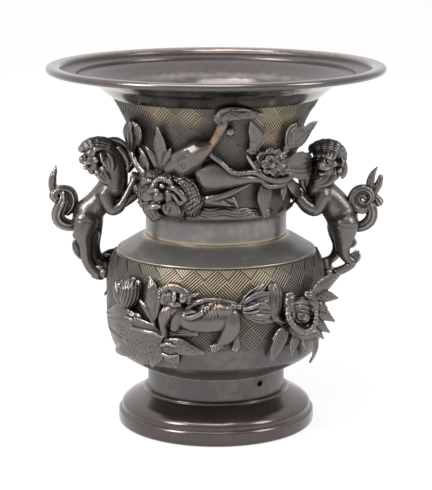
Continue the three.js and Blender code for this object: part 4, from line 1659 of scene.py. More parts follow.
# The two handles
LEFT_HANDLE = LionHandle(
    name="left_lion_dog",
    side=-1,
    trunk=[(65, 0, 151.5, 9.3, 8.5), (70, 0, 146.5, 8.8, 8.2), (75.5, 0, 141, 8.4, 8), (81, 0, 135.5, 9, 8.4),
           (83, 0, 129.5, 8.6, 8.6)],
    limbs=(
        [(65, 0.5, 153, 9.4), (63.8, 1, 161, 8.4), (64.4, 1, 168, 8), (68, 1.5, 173, 7.6)],
        [(69, 6, 148, 5.5), (65.3, 8.5, 139.4, 4), (61, 9, 140.4, 3.3), (56.3, 8, 147.6, 2.5), (52.6, 6.5, 155, 2.3),
         (50.8, 5.5, 158, 2.6)],
        [(66, -5, 146, 5.5), (61, -8, 141, 4.4), (56, -8, 143, 3.8), (51.5, -6.5, 146.6, 3.6), (49.8, -5, 148.5, 3.2)],
        [(82.6, 4.5, 131, 8), (83.6, 7, 123.5, 6), (82.8, 7.6, 116, 4.2), (82, 7.6, 107.5, 3.4), (79, 7.5, 101, 3.2),
         (75.4, 7, 97.4, 3.2)],
        [(79, -2.5, 131, 7.6), (78.4, -3, 123, 6), (78.6, -2.4, 114, 4.8), (77, -3, 107, 4.4),
         (72.4, -4.4, 103.4, 3.8)],
        [(79, 2, 121, 5), (79.6, 2.4, 112, 3.6), (78, 2.4, 104.6, 3.4), (73, 2, 101, 3)],
    ),
    tails=(
        [(87, 0, 127.6, 3.2), (94, 0, 127.6, 3.7), (98.6, 1, 130.4, 4), (99.8, 2, 135, 4), (98, 2.5, 140, 3.8),
         (96.2, 2.5, 144, 3.2), (96.2, 2, 148, 2.4)],
        [(94, -1, 135.8, 2.4), (91.4, -1.5, 139.6, 3.4), (90.6, -1.5, 144.6, 3.4), (92.4, -0.5, 149, 3.1),
         (96, 0.5, 150.6, 2.8), (100, 1.5, 150, 2.8), (102.4, 2, 147, 2.9), (101, 2, 144.8, 2.6)],
        [(102, 1, 149, 2.6), (103, 1, 153, 2.5), (102.8, 1, 158, 2.3), (101.4, 1, 162.6, 1.4), (100.9, 1, 166, 0.4)],
    ),
    tufts=(
        [(85, 7.2, 108, 1.2), (87.2, 7.2, 112.6, 2.2), (89.2, 7.2, 117, 1.3), (89.8, 7, 119.4, 0.5)],
        [(84, 7.5, 124, 2), (87.4, 7.5, 122.5, 2.2), (90.4, 7, 123.8, 0.6)],
        [(68, 1, 179, 3), (63, 1, 179.6, 3), (58.6, 1, 177.4, 2.4), (55.6, 1, 174, 1)],
        [(63, 3, 175, 3.4), (59.6, 4, 171, 3.4), (57.4, 4, 166, 2.6), (57.8, 4, 162, 1)],
        [(70, 7, 174, 2.4), (67.6, 8.6, 170.6, 2.8), (66.6, 8.6, 165.6, 2.2), (67.6, 8, 161.6, 0.7)],
        [(73, 6, 165, 2.6), (71, 8, 161, 2.6), (68, 9, 157.6, 1.6), (66, 9, 155.6, 0.6)],
    ),
    curls=[(78, 5, 163, 2.2), (74, 7, 162, 2.4), (70.6, 8, 165, 2.3), (58.4, 2, 166, 3)],
    hood=[(84, 3, 176.8, 2.4, 4), (80.4, 2, 178.6, 3.8, 6.6), (74, 1, 179.4, 4.8, 7.8), (68.5, 1, 178.4, 4.6, 7.2),
          (65, 1, 176.4, 3.4, 5.6)],
    paws=((51.2, 6, 157.6, -0.3, 0, 0.95, 3), (50.4, -5.2, 148, -0.5, 0, 0.8, 3), (77, 7, 99, -0.95, 0, -0.25, 4.2),
          (73.4, -4.4, 104.4, -0.95, 0, -0.2, 4)),
    head_at=(75, 1.5, 172),
    looks=(0.9, 0.4, -0.14),
    crown=(-0.12, 0, 1),
    skull=7.3,
)

RIGHT_HANDLE = LionHandle(
    name="right_lion_dog",
    side=1,
    trunk=[(64, 0, 151, 9, 8.4), (69.5, 0, 146.5, 9.2, 8.4), (75, 0, 140.5, 9.8, 8.6), (79.5, 0, 133.5, 10.2, 8.8),
           (80.5, 0, 127, 9.4, 8.8)],
    limbs=(
        [(65, 0.5, 153, 8.8), (66.6, 1, 161, 8.2), (67.6, 1, 167, 8)],
        [(67, 6, 147, 5.5), (62.6, 8, 139.4, 4.6), (57.4, 9, 141, 4.2), (52.6, 8.6, 146, 3.6)],
        [(66, -5, 146, 5.5), (61, -8, 141, 4.4), (56, -8, 143, 3.8), (51.8, -6.5, 146.6, 3.4)],
        [(81.4, 4.5, 129, 8.8), (80.8, 6.4, 119.6, 6.2), (80.4, 7, 112.4, 4.2), (83, 7.4, 107.6, 3.2),
         (86, 7.6, 104.8, 2.9), (82.5, 7.6, 101.6, 2.8), (76.5, 7.4, 98.8, 2.9)],
        [(78.5, -3, 125, 8), (79, -4, 115, 5), (77.4, -5, 109.4, 3.6), (74.4, -5.6, 105, 2.9), (71, -6, 102.8, 2.8)],
        [(78.4, 3, 171, 2.1, 1), (80, 3, 166, 2.6, 1.1), (80.2, 3, 161, 2.2, 1), (79.4, 3, 158, 0.8, 0.5)],
    ),
    tails=(
        [(87, 0, 126, 3), (93.4, 0, 127.2, 3.4), (97.6, 1, 131, 3.6), (98.8, 2, 136, 3.4), (98, 2, 140, 3),
         (96.4, 1, 142.6, 2.2)],
        [(97.4, 2, 139.6, 2.4), (92.2, 2.4, 137.9, 2.6), (87.2, 2.6, 140.4, 2.6), (85.8, 2.6, 145.6, 2.6),
         (88.6, 2.6, 150.2, 2.6), (93.4, 2.6, 151.4, 2.6), (97.4, 2.4, 148.6, 2.6), (97.6, 2, 144.4, 2.4),
         (94.8, 2, 141.6, 2), (91, 2, 142.4, 2), (89.8, 2, 145.6, 2), (92.2, 2, 147.6, 2), (94, 2, 145.6, 1.6)],
        [(97.8, 1, 149, 2.5), (97.3, 1, 155, 2.5), (98.8, 1, 160.6, 1.7), (101.6, 1, 165, 0.5)],
        [(99.6, 0.5, 149, 2.4), (102.6, 0, 153.8, 2.3), (104, 0, 158.6, 1.5)],
        [(98.4, 1, 146.8, 2.2), (101, 1, 145, 2.4), (102.6, 1, 142.8, 3)],
    ),
    tufts=(
        [(85, 7.4, 105, 1.6), (88.2, 7.4, 108.6, 2.4), (89.4, 7.2, 112.8, 0.7)],
        [(83, 7.5, 120, 2), (86, 7.5, 117.6, 2.2), (88.4, 7, 119.4, 0.6)],
        [(72, 4, 165, 3), (70, 6, 160, 4), (66, 8, 156.6, 2.6), (61.6, 8, 156.4, 0.8)],
        [(60, 4, 168, 3.4), (57.6, 4, 161, 4), (57.2, 4, 154, 3), (58.6, 4, 148, 1)],
        [(75.8, 3, 172, 2.6), (76.6, 3, 166, 2.6), (75, 3, 160, 2), (73.4, 3, 156.4, 0.8)],
    ),
    curls=[(77.4, 5, 163.4, 2)],
    hood=[(61, 2, 177, 3, 4), (65, 3, 178.2, 4, 6.8), (69.6, 3, 178.6, 4.4, 7.8), (74.4, 3, 177.2, 4.6, 7.6),
          (78.4, 2, 173.8, 3.6, 6), (80.2, 2, 170.6, 2.2, 4)],
    paws=((52.6, 8.4, 145.8, -0.6, 0, 0.7, 3.6), (51, -5.6, 147.6, -0.5, 0, 0.8, 3.2),
          (75.4, 7.2, 98.4, -0.95, 0, 0.02, 3.1), (71, -6, 102.6, -0.9, 0, -0.3, 3)),
    head_at=(68.8, 3, 170.2),
    looks=(-0.32, 0.9, -0.2),
    crown=(0.1, 0.1, 1),
    skull=7.9,
)


# The reliefs: rows of angle, height, lift and half width
Part = tuple[Work, Rows, dict[str, object]]


def leaf(*rows: tuple[float, ...], veins: int = 0, fold: float = 0.22) -> Part:
    """A leaf for a relief, from its stalk to its tip."""
    return Work.LEAF, rows, {"veins": veins, "fold": fold}


def petal(*rows: tuple[float, ...], ribs: int = 3, cup: float = 0.25) -> Part:
    """A petal for a relief, from its root to its tip."""
    return Work.PETAL, rows, {"ribs": ribs, "cup": cup}


def limb(*rows: tuple[float, ...], blend: float = 0.3, **shape: object) -> Part:
    """A limb, stalk or body for a relief."""
    return Work.LIMB, rows, {"blend": blend, **shape}


def curls(*rows: tuple[float, ...]) -> Part:
    """Curls of hair for a relief: angle, height, lift and radius."""
    return Work.CURLS, rows, {}


def score(*rows: tuple[float, ...], wide: float = 0.4) -> Part:
    """A line drawn on a relief: angle, height and, where it isn't wide, the tool's half width."""
    return Work.SCORE, rows, {"wide": wide}


def comb(first: Rows, last: Rows, strokes: int, wide: float = 0.4, carve: bool = True) -> Part:
    """Lines drawn side by side on a relief, from the first to the last, with rows like those of score."""
    return Work.COMB, (first, last), {"strokes": strokes, "wide": wide, "carve": carve}


def rosette(shape: Rows, *petals: Rows) -> tuple[Part, ...]:
    """Petals of one make: shape has their lifts and half widths, and each petal its angles and heights."""
    return tuple(petal(*((*at, *size) for at, size in zip(rows, shape))) for rows in petals)


@dataclass(frozen=True)
class Relief:
    """A relief casting that stands off the skin of the vase, on the front and again on the back.

    Rows hold the angle from the front in degrees, the height, the lift off the skin and half the width.
    """

    node: str
    parts: tuple[Part, ...]
    rubbed: Rows = ()
    cell: float = 0.45
    sunk: float = 0.5

    ROOM = 2.0
    LEFT_WINDING = -30.0

    def build(self) -> bpy.types.Object:
        """Models and casts the relief.

        Returns:
            The piece on the front of the vase.
        """
        rows = [row for kind, part, _ in self.parts if kind not in (Work.SCORE, Work.COMB) for row in part]
        places = np.array([SKIN.place(*row[:3]) for row in rows])
        room = np.array([row[3] for row in rows])[:, None] + self.ROOM
        clay = Clay((places - room).min(0), (places + room).max(0), self.cell)
        model = Model(clay, SKIN.place, SKIN.outward)
        for kind, part, shape in self.parts:
            if kind is Work.LIMB:
                model.form(Form(part, **shape))
            elif kind is Work.CURLS:
                for angle, height, lift, radius in part:
                    at = SKIN.place(angle, height, lift)
                    hand = 1 if angle < self.LEFT_WINDING else -1
                    model.curl(at, radius, SKIN.outward(at) + 0.2 * UP, hand)
            else:
                getattr(model, kind.value)(part, **shape)
        SKIN.trim(clay, self.sunk)
        return model.finish(f"front_{self.node}_casting", RELIEF, SKIN.spots(self.rubbed))

    @staticmethod
    def behind(piece: bpy.types.Object) -> bpy.types.Object:
        """Makes the same casting on the back of the vase.

        Args:
            piece: The one on the front.

        Returns:
            The one on the back.
        """
        name = piece.name.replace("front", "back")
        mesh = piece.data.copy()
        mesh.name = name
        mesh.vertices.foreach_set("co", (places_of(mesh) * (-1, -1, 1)).ravel())
        mesh.update()
        return hang(name, mesh)


def relief(node: str, *parts: Part, rubbed: Rows = ()) -> Relief:
    """A relief casting made of its parts."""
    return Relief(node, parts, rubbed)


NECK_LION = relief(
    "neck_lion",
    limb((-29, 143.3, 1, 4.2), (-11.7, 143.6, 0.8, 4.8), (4.6, 143.7, 0.6, 4.8), (21.4, 143.1, 0.4, 4.4),
         (41.3, 142.1, 0.2, 3.6), thick=2.4, blend=2),
    comb(((-32.2, 148.4), (-22.7, 147.3), (-13.8, 149.6), (-4, 148), (5.7, 149.8), (17.1, 147.6), (29.2, 148.7),
          (39.9, 145.8)),
         ((-32.7, 142.1), (-24.7, 140.8), (-15.5, 143.9), (-5.5, 141.7), (4.3, 143.6), (15.9, 141.4), (28, 143.1),
          (40.5, 140)), strokes=4, wide=0.5),
    limb((-31, 169.7, 2, 6, 5), (-21.1, 175.2, 4.5, 7.8, 6), (-13.8, 180.1, 6, 7.2, 6), (-8.7, 184.1, 6.4, 5.4, 5),
         (-5.1, 186.3, 6, 3.6, 3.4), blend=1),
    limb((-24.4, 179.3, 4, 4.2, 4.5), (-18.3, 182.9, 5, 4.2, 5), (-11.8, 187, 5, 3.6, 4), blend=1.4),
    limb((-8.5, 179.5, 1, 3, 3), (-2.5, 175.2, 1, 4.8, 3.4), (5.6, 170.8, 1, 4.8, 3.4), (17, 167.3, 1, 3.6, 3),
         blend=1),
    limb((-10.2, 171.7, 3.6, 4.2, 4.4), (-4.3, 168.9, 4.6, 9, 5), (4, 167.7, 4.8, 7.8, 4.8),
         (13.1, 166.4, 4.6, 4.8, 4), (22.8, 165.9, 4.4, 3, 3.4), (32, 164.3, 4.2, 2.2, 2.8), blend=0.6),
    limb((-5.8, 184.7, 5.6, 1.4), (-1.7, 180.8, 6.6, 1.6), (3.7, 176.5, 7.4, 1.6), (7.9, 172.3, 7.6, 1.7),
         (12.3, 170.1, 7.4, 1.7), (18.7, 170.3, 7, 1.8), (24.2, 169.9, 6.6, 1.7), (30.6, 166.2, 6, 1.4), blend=0.4),
    comb(((8.8, 174), (8.1, 169)), ((17.8, 173.6), (17.8, 168)), strokes=7, wide=0.45),
    comb(((-15.7, 184.6), (-20, 181.9), (-22.3, 178.2), (-21.6, 174.9), (-18.1, 173.3, 0.4)),
         ((-14.7, 182.8), (-17.3, 181), (-19, 178.4), (-18.5, 176.6), (-16.3, 175.5, 0.4)), strokes=3, wide=0.5),
    limb((31.3, 165.7, 5, 1.2), (24, 173, 6.4, 1.3), (20.5, 177.7, 7, 1.2), (18.4, 181, 7, 0.5), blend=0.5),
    limb((-5.4, 185.2, 3.4, 2.9, 3), (-2.3, 188.3, 4.2, 2.8, 3.2), (0.7, 193.5, 5, 3, 3.4),
         (2.8, 198.7, 5.4, 3, 3.2), (4.3, 202.4, 4.4, 3, 2.6), blend=1),
    comb(((-3.2, 189.5), (-0.6, 194), (1.1, 198.7)), ((-1, 187), (2.1, 192.7), (4.3, 197.8)), strokes=3),
    limb((7.6, 196.6, 5, 3.1, 3.4), (7.6, 196.5, 5, 3.1, 3.4)),
    limb((4, 200.9, 3, 3.8, 2.6), (2.9, 205.5, 3.2, 4.8, 2.8), (7.8, 207.8, 3, 4.8, 2.6),
         (15.9, 207.3, 2.6, 3.6, 2.2), (25.5, 206, 2, 1.2, 1), blend=0.6),
    limb((2.8, 201.7, 4, 1.8), (1.1, 206.3, 4, 1.8), (3.6, 209.8, 3.6, 1.7), (10, 210.7, 3.2, 1.2),
         (18.8, 209.2, 2.6, 0.5)),
    comb(((2.1, 200.4), (-0.2, 206.3), (2.4, 211.2), (9.9, 212.4), (20.1, 209.5, 0.35)),
         ((6.2, 200.4), (7, 204.2), (10.9, 205), (15.9, 205.2), (22.1, 205.5, 0.35)), strokes=9),
    comb(((2.7, 200.4), (0.8, 206.3), (3.3, 210.5), (10.9, 211.7), (23.5, 208.4)),
         ((5.2, 200.4), (5.5, 204.5), (9.8, 206.1), (16.8, 206.1), (25, 206.6)), strokes=5, wide=0.3, carve=False),
    limb((-10.5, 153.2, 1.6, 2.6, 2.4), (-5.4, 153.2, 3, 3.4, 3), (2.8, 155.4, 4.2, 2.6, 2.6),
         (12.7, 159, 4.6, 2, 2.2), (23.2, 162.4, 4, 0.8, 1), blend=0.5),
    limb((-5.4, 152.4, 3, 2.8, 2.6), (2.8, 151.7, 4.2, 2.5, 2.6), (9.7, 149.7, 3.8, 0.7, 1), blend=0.4),
    limb((5.6, 154.2, 3, 2.5, 2.2), (11, 153.3, 3.8, 2.3, 2.2), (14.8, 148.4, 3.2, 0.7, 1), blend=0.4),
    comb(((-4.3, 154.4), (3.9, 156.5), (15.3, 160.9)), ((-3.7, 152.5), (2.7, 153.4), (10.3, 155.2)), strokes=3),
    limb((-28.8, 165.7, 3.6, 5.4, 4.6), (-19.9, 160.8, 4.4, 7.2, 5), (-16.9, 153.4, 4, 7.2, 4.6),
         (-18.3, 146.3, 3, 6, 3.6), blend=1),
    limb((-30, 149.7, 6, 5.4, 5), (-27.9, 144.1, 5, 5.4, 4), (-26.3, 140.1, 3, 3, 2.6), blend=1),
    limb((-48.6, 145.3, 7, 5.4, 4.6), (-45.7, 140.3, 5, 5.4, 3.6), blend=1),
    limb((-54.8, 161.8, 4, 3.6), (-60.3, 154.7, 4, 3.6), (-60.6, 147.1, 4, 3.6), blend=0.8),
    comb(((-29.6, 168.4), (-21.6, 169.3), (-13.6, 166.3), (-8.3, 159.6), (-7.8, 151.6), (-11.8, 143.3)),
         ((-26, 163.1), (-23.4, 161.4), (-21.6, 158.4), (-21.1, 153.5), (-22, 147.8), (-23.7, 142)),
         strokes=9, wide=0.45),
    comb(((-27, 167.3), (-19.8, 167.2), (-13.7, 163.4), (-10.8, 157.7), (-11, 150.2), (-15, 143.2)),
         ((-25.9, 164.3), (-21.4, 162.8), (-18.6, 158.6), (-18.1, 153), (-19.4, 147.3), (-21.6, 142.1)),
         strokes=4, carve=False),
    comb(((-32.4, 150.6), (-32.1, 145.6), (-31.7, 140.6, 0.4)),
         ((-23.9, 150.8), (-22.8, 145.8), (-23.1, 140.8, 0.4)), strokes=6, wide=0.45),
    comb(((-43.8, 165), (-51.2, 159), (-55.5, 152.1), (-55.5, 145.8)),
         ((-44.2, 161.2), (-47.5, 157), (-50.2, 151.6), (-50.1, 145.3)), strokes=4),
    limb((-41.1, 162.9, 5, 9.6, 7.6), (-42.1, 156.7, 6.4, 9.4, 8), blend=1),
    limb((-48.3, 156.5, 6, 6, 7), (-50, 151.9, 6, 5.4, 6), blend=1.2),
    limb((-39.4, 158.3, 11, 4.2, 4), (-40.1, 154.3, 12, 5.2, 4.6), (-40.3, 153.3, 12, 5.2, 4), blend=0.9),
    limb((-37.4, 163.5, 10.6, 3), (-38.2, 160.2, 12.2, 3), blend=0.8),
    limb((-43, 154.1, 13.2, 3.4), (-43, 153.9, 13.2, 3.4), blend=0.5),
    limb((-34.5, 155.5, 13.4, 3.6), (-34.5, 155.2, 13.4, 3.6), blend=0.5),
    limb((-39.6, 158.2, 14.8, 1.7), (-34.7, 159.2, 15, 1.7), blend=0.4),
    limb((-38, 158.1, 17.4, 0.5), (-37.7, 158.1, 17.2, 0.5), carve=True, blend=0.2),
    limb((-33, 159.1, 17.4, 0.5), (-32.6, 159.2, 17.4, 0.5), carve=True, blend=0.2),
    score((-36.5, 157.3), (-36.8, 153.5)),
    limb((-49.7, 158.5, 10.6, 1.7), (-44.6, 163, 12.8, 2), (-39.9, 164.6, 13.2, 1.6)),
    limb((-34.3, 165.6, 13.4, 1.7), (-30.2, 166.9, 13.4, 2.2), (-27.3, 164.2, 11.4, 1.9), (-27.3, 161.2, 9.8, 1.2)),
    limb((-43.3, 160.2, 12.2, 1.6), (-43.3, 160.2, 12.2, 1.6), blend=0.15),
    limb((-32.2, 162, 12.4, 1.9), (-32.1, 162, 12.4, 1.9), blend=0.15),
    limb((-29.6, 157.2, 9.4, 3.2), (-30.3, 154, 9, 3), blend=0.5),
    limb((-44.4, 147.8, 12, 1.9), (-39.2, 147.8, 13.4, 2.3), (-35.9, 148.9, 12.2, 1.9), blend=0.5),
    limb((-52.6, 150.2, 10, 1), (-43.4, 150.1, 14, 1.1), (-36.9, 152, 16, 1.2), (-33.8, 151.4, 14.2, 1.1),
         (-31.2, 153.5, 10.6, 1), carve=True, blend=0.2),
    curls((-43.6, 150.1, 13.6, 0.7), (-40.5, 150.6, 13.6, 0.5), (-37.3, 151.1, 13.6, 0.5), (-34.3, 151.5, 13.6, 0.7)),
    comb(((-27.4, 161.7), (-19.2, 166.6), (-10.6, 167.7)),
         ((-20.2, 144.8), (-13.5, 148.9), (-7.2, 154.1)), strokes=8),
    comb(((-45, 145.8), (-45, 142.6), (-43.6, 139.7, 0.4)),
         ((-35, 147.1), (-34.5, 144), (-32.5, 141.1, 0.4)), strokes=5, wide=0.45),
    comb(((-39.4, 164.3), (-40.2, 167), (-41, 168.9, 0.4)),
         ((-28.4, 165.5), (-27.5, 168.3), (-26.4, 170.1, 0.4)), strokes=7, wide=0.45),
    limb((-29.6, 160.7, 10, 2), (-25.1, 161, 11, 2), (-21.6, 158, 10.4, 2.2), (-19.4, 153.6, 9.4, 1.8),
         (-22.7, 151, 8.6, 1.4)),
    limb((-28.6, 158.6, 9.6, 1.4), (-25.8, 155.7, 9.6, 1.6), (-23.3, 151.8, 8.8, 1.4), blend=0.2),
    limb((-25.2, 158.7, 11, 1), (-22.5, 156.4, 11, 1.1), (-21, 153.6, 10, 0.8), carve=True, blend=0.2),
    limb((-34.1, 148.4, 8, 2.8), (-32.7, 145.3, 7, 3)),
    score((-32.7, 146.2), (-32.4, 147.9), (-30.8, 148.9), (-29, 148.5), (-28.6, 147), (-29.7, 145.5), wide=0.5),
    rubbed=((-1.6, 190.9, 5, 5.4), (3.4, 198.6, 5, 3.6), (-40, 149.7, 13, 2.4)),
)
NECK_PEONY = relief(
    "neck_peony",
    *rosette(
        ((3.6, 3), (5, 4.6), (4.2, 2.6)),
        ((43.5, 173.7), (47, 174.7), (52.9, 174.9)), ((40.7, 175.9), (41.4, 179.1), (44, 181.2)),
        ((37.3, 176.6), (34.7, 180.6), (34.1, 183.4)), ((34.5, 175.7), (29.7, 178.6), (27.2, 180.5)),
        ((33.7, 173.5), (28.2, 174.1), (25, 174.3)), ((35.1, 171.1), (30.7, 169.4), (28.5, 167.6)),
        ((38.3, 169.6), (36.7, 166.4), (37, 163.4)), ((41.8, 169.6), (43.7, 166.5), (47.5, 163.4)),
        ((44, 171.3), (48, 169.7), (54.8, 167.8)),
    ),
    petal((49.6, 170.7, 5, 3.6), (57.2, 170.3, 7.4, 7.2), (65.8, 169.8, 9.4, 8.4), (76, 168.5, 10.4, 6), ribs=6),
    petal((51, 173.7, 5, 1.8), (57.8, 176.4, 7.4, 2.8), (64.4, 177.8, 8.6, 1.4), ribs=1),
    petal((52, 172.4, 6, 1.8), (60.2, 174, 8.6, 3), (75, 173.4, 10.4, 1.6), ribs=1),
    petal((52.3, 171.1, 6, 1.8), (63.2, 170.8, 9, 3.1), (85.4, 167.3, 11.4, 1.6), ribs=1),
    petal((52.7, 169.8, 6, 1.8), (61.9, 167.7, 8.8, 3), (86.1, 162.6, 11, 1.6), ribs=1),
    petal((52.5, 168.5, 5.6, 1.8), (60.3, 164.9, 8, 2.8), (75.4, 159.3, 9.2, 1.2), ribs=1),
    limb((40.1, 173.3, 2, 10.2, 4.6), (39.8, 172.8, 2.4, 10, 4.6), blend=0.6),
    *rosette(
        ((6, 2.4), (7.4, 3.2), (7, 2)),
        ((37.9, 174.9), (38.2, 176.6), (39.9, 177.8)), ((35.5, 175.4), (33.2, 177.8), (32.6, 179.6)),
        ((34.2, 174.1), (30.5, 175), (28.7, 175.4)), ((35.2, 172.3), (32.6, 171.1), (31.6, 169.7)),
        ((37.6, 171.7), (37.7, 169.9), (39.1, 167.9)), ((38.9, 173), (40.6, 172.6), (43.7, 171.9)),
    ),
    limb((35.7, 174, 7, 2.8, 3), (35.5, 173.7, 7.2, 2.6, 3), blend=0.4),
    score((32, 175), (33.9, 176.7), (36.8, 174.6), (35.2, 171.6), (30.6, 172), (27.6, 175.4), (29.2, 179.6),
          (33.9, 180.5, 0.6), (39.4, 177.4, 0.6), (41.3, 172.2, 0.6), (37.2, 168.3, 0.5), wide=0.7),
    comb(((26.2, 177.9), (25.8, 174.8), (27.4, 171.5)), ((28.9, 177.7), (28.2, 174.6), (29.5, 171.4)), strokes=3),
    limb((26.9, 169.9, 5.4, 1.8), (30.8, 166.7, 6.6, 1.8), (37.4, 164, 7.4, 1.9), (44.5, 163.1, 8, 1.9),
         (52.3, 163.5, 8, 1.7), (60.2, 164.5, 7.4, 1.1)),
    limb((31.4, 163.9, 5, 1.8), (34.5, 160.7, 6.4, 1.8), (40.5, 160, 7.2, 1.7), (48.1, 160.9, 7.6, 1.6),
         (56.3, 162.1, 7, 1.2)),
    petal((35.2, 160.3, 4.6, 4.2), (34.2, 153.7, 5.6, 5.4), (34.7, 147.2, 5, 3.6), (35.4, 140, 3.6, 0.6), ribs=6,
          cup=-0.12),
    petal((52.4, 159.6, 4.6, 2.4), (52.3, 155.3, 5.4, 3.2), (52.8, 150.1, 4.6, 1.4), cup=-0.15),
    petal((56.1, 161.7, 5, 2.6), (61.4, 156.7, 7, 4.2), (74.6, 150.2, 7.2, 3.2), (86, 144, 6.4, 0.7), ribs=5,
          cup=-0.12),
)
NECK_BUD = relief(
    "neck_bud",
    limb((-67.4, 182.1, 3.6, 3.8), (-60.9, 187.5, 5, 5.2), (-57.6, 193.1, 5.8, 5.4), (-56.4, 197.8, 4.4, 2.8),
         flutes=(12, 0.06), blend=0.5),
    petal((-62.7, 184.3, 7, 2.4), (-59.5, 189.3, 9, 3), (-54.9, 195, 9.4, 2.8), (-52, 198.5, 8, 1.2), cup=-0.3),
    petal((-54.8, 185.3, 7, 2.4), (-48.3, 191.4, 9, 2.8), (-47.3, 196.6, 9, 2.4), (-49.7, 198.8, 8, 1.2), cup=-0.3),
    limb((-71.2, 181, 4, 3.2), (-67.6, 175.8, 4.4, 3), (-62.8, 170.8, 4.2, 3), (-56.2, 165.9, 3.4, 3.2), blend=0.6),
    comb(((-64.9, 181.4), (-64.3, 175.8), (-60, 170.1)), ((-59.7, 182.2), (-58, 176.7), (-54, 171.6)), strokes=2),
    leaf((-51.7, 166.8, 3.4, 1.4), (-51.7, 172.3, 4.4, 2.4), (-54, 177, 4.6, 2.4), (-57.6, 182.2, 4, 0.6)),
    limb((-58.9, 176.2, 2.4, 3.6, 1.6), (-56.5, 170.8, 2.4, 3.6, 1.6), blend=0.5),
)
NECK_LEFT_LEAVES = relief(
    "neck_left_leaves",
    leaf((-40.3, 168, 3.2, 1.6), (-38.5, 175.7, 4.4, 3.7), (-37.4, 183.4, 5.4, 5.2), (-36.6, 190.4, 5.6, 4.1),
         (-34.5, 197.6, 5.2, 0.6), veins=3, fold=0.3),
    leaf((-41.3, 167.9, 3.2, 1.2), (-43.5, 173.9, 4.4, 2.5), (-46.1, 179.3, 4.8, 2.6), (-48.8, 183.6, 4.6, 0.6),
         fold=0.3),
    leaf((-39.4, 168.1, 3.2, 1.2), (-34.9, 174.7, 4.4, 2.8), (-31.6, 179.5, 5, 3), (-28.6, 184.1, 4.8, 0.6),
         fold=0.3),
    limb((-41.1, 168.2, 2.4, 1.8), (-40.8, 164.5, 2.4, 2), blend=1),
)
NECK_RIGHT_LEAVES = relief(
    "neck_right_leaves",
    leaf((50.5, 180.5, 3.4, 2.4), (52.9, 184.2, 5.2, 6.2), (56.2, 187.7, 7.2, 7.6), (60.6, 191.4, 9.2, 6.2),
         (62.3, 195, 10.6, 3.8), (64.2, 197.6, 11.4, 0.8), veins=5, fold=0.16),
    leaf((51.7, 181.6, 3, 1.2), (48.7, 188.3, 4, 2.4), (47.6, 194.5, 4.6, 2.5), (51.4, 197.4, 5, 1.4), fold=-0.3),
    limb((51.1, 180.4, 3, 1.8), (46.6, 177.8, 3, 2), blend=1),
)
NECK_TOP_LEAVES = relief(
    "neck_top_leaves",
    leaf((27.5, 180.1, 2.6, 1.4), (25, 186.2, 4.4, 4.2), (24.3, 191.4, 5, 4.7), (21.3, 196.6, 4.6, 3.2),
         (19.2, 201.8, 3.6, 0.6), veins=2, fold=0.12),
    leaf((26.4, 181.5, 3, 1.6), (21.9, 183.4, 4, 2.5), (19.4, 183.3, 3.6, 0.7), fold=0.12),
    leaf((26.3, 185.3, 3.4, 2), (28.7, 189.7, 4.2, 2.8), (29.9, 193.6, 3.8, 0.7), fold=0.12),
)
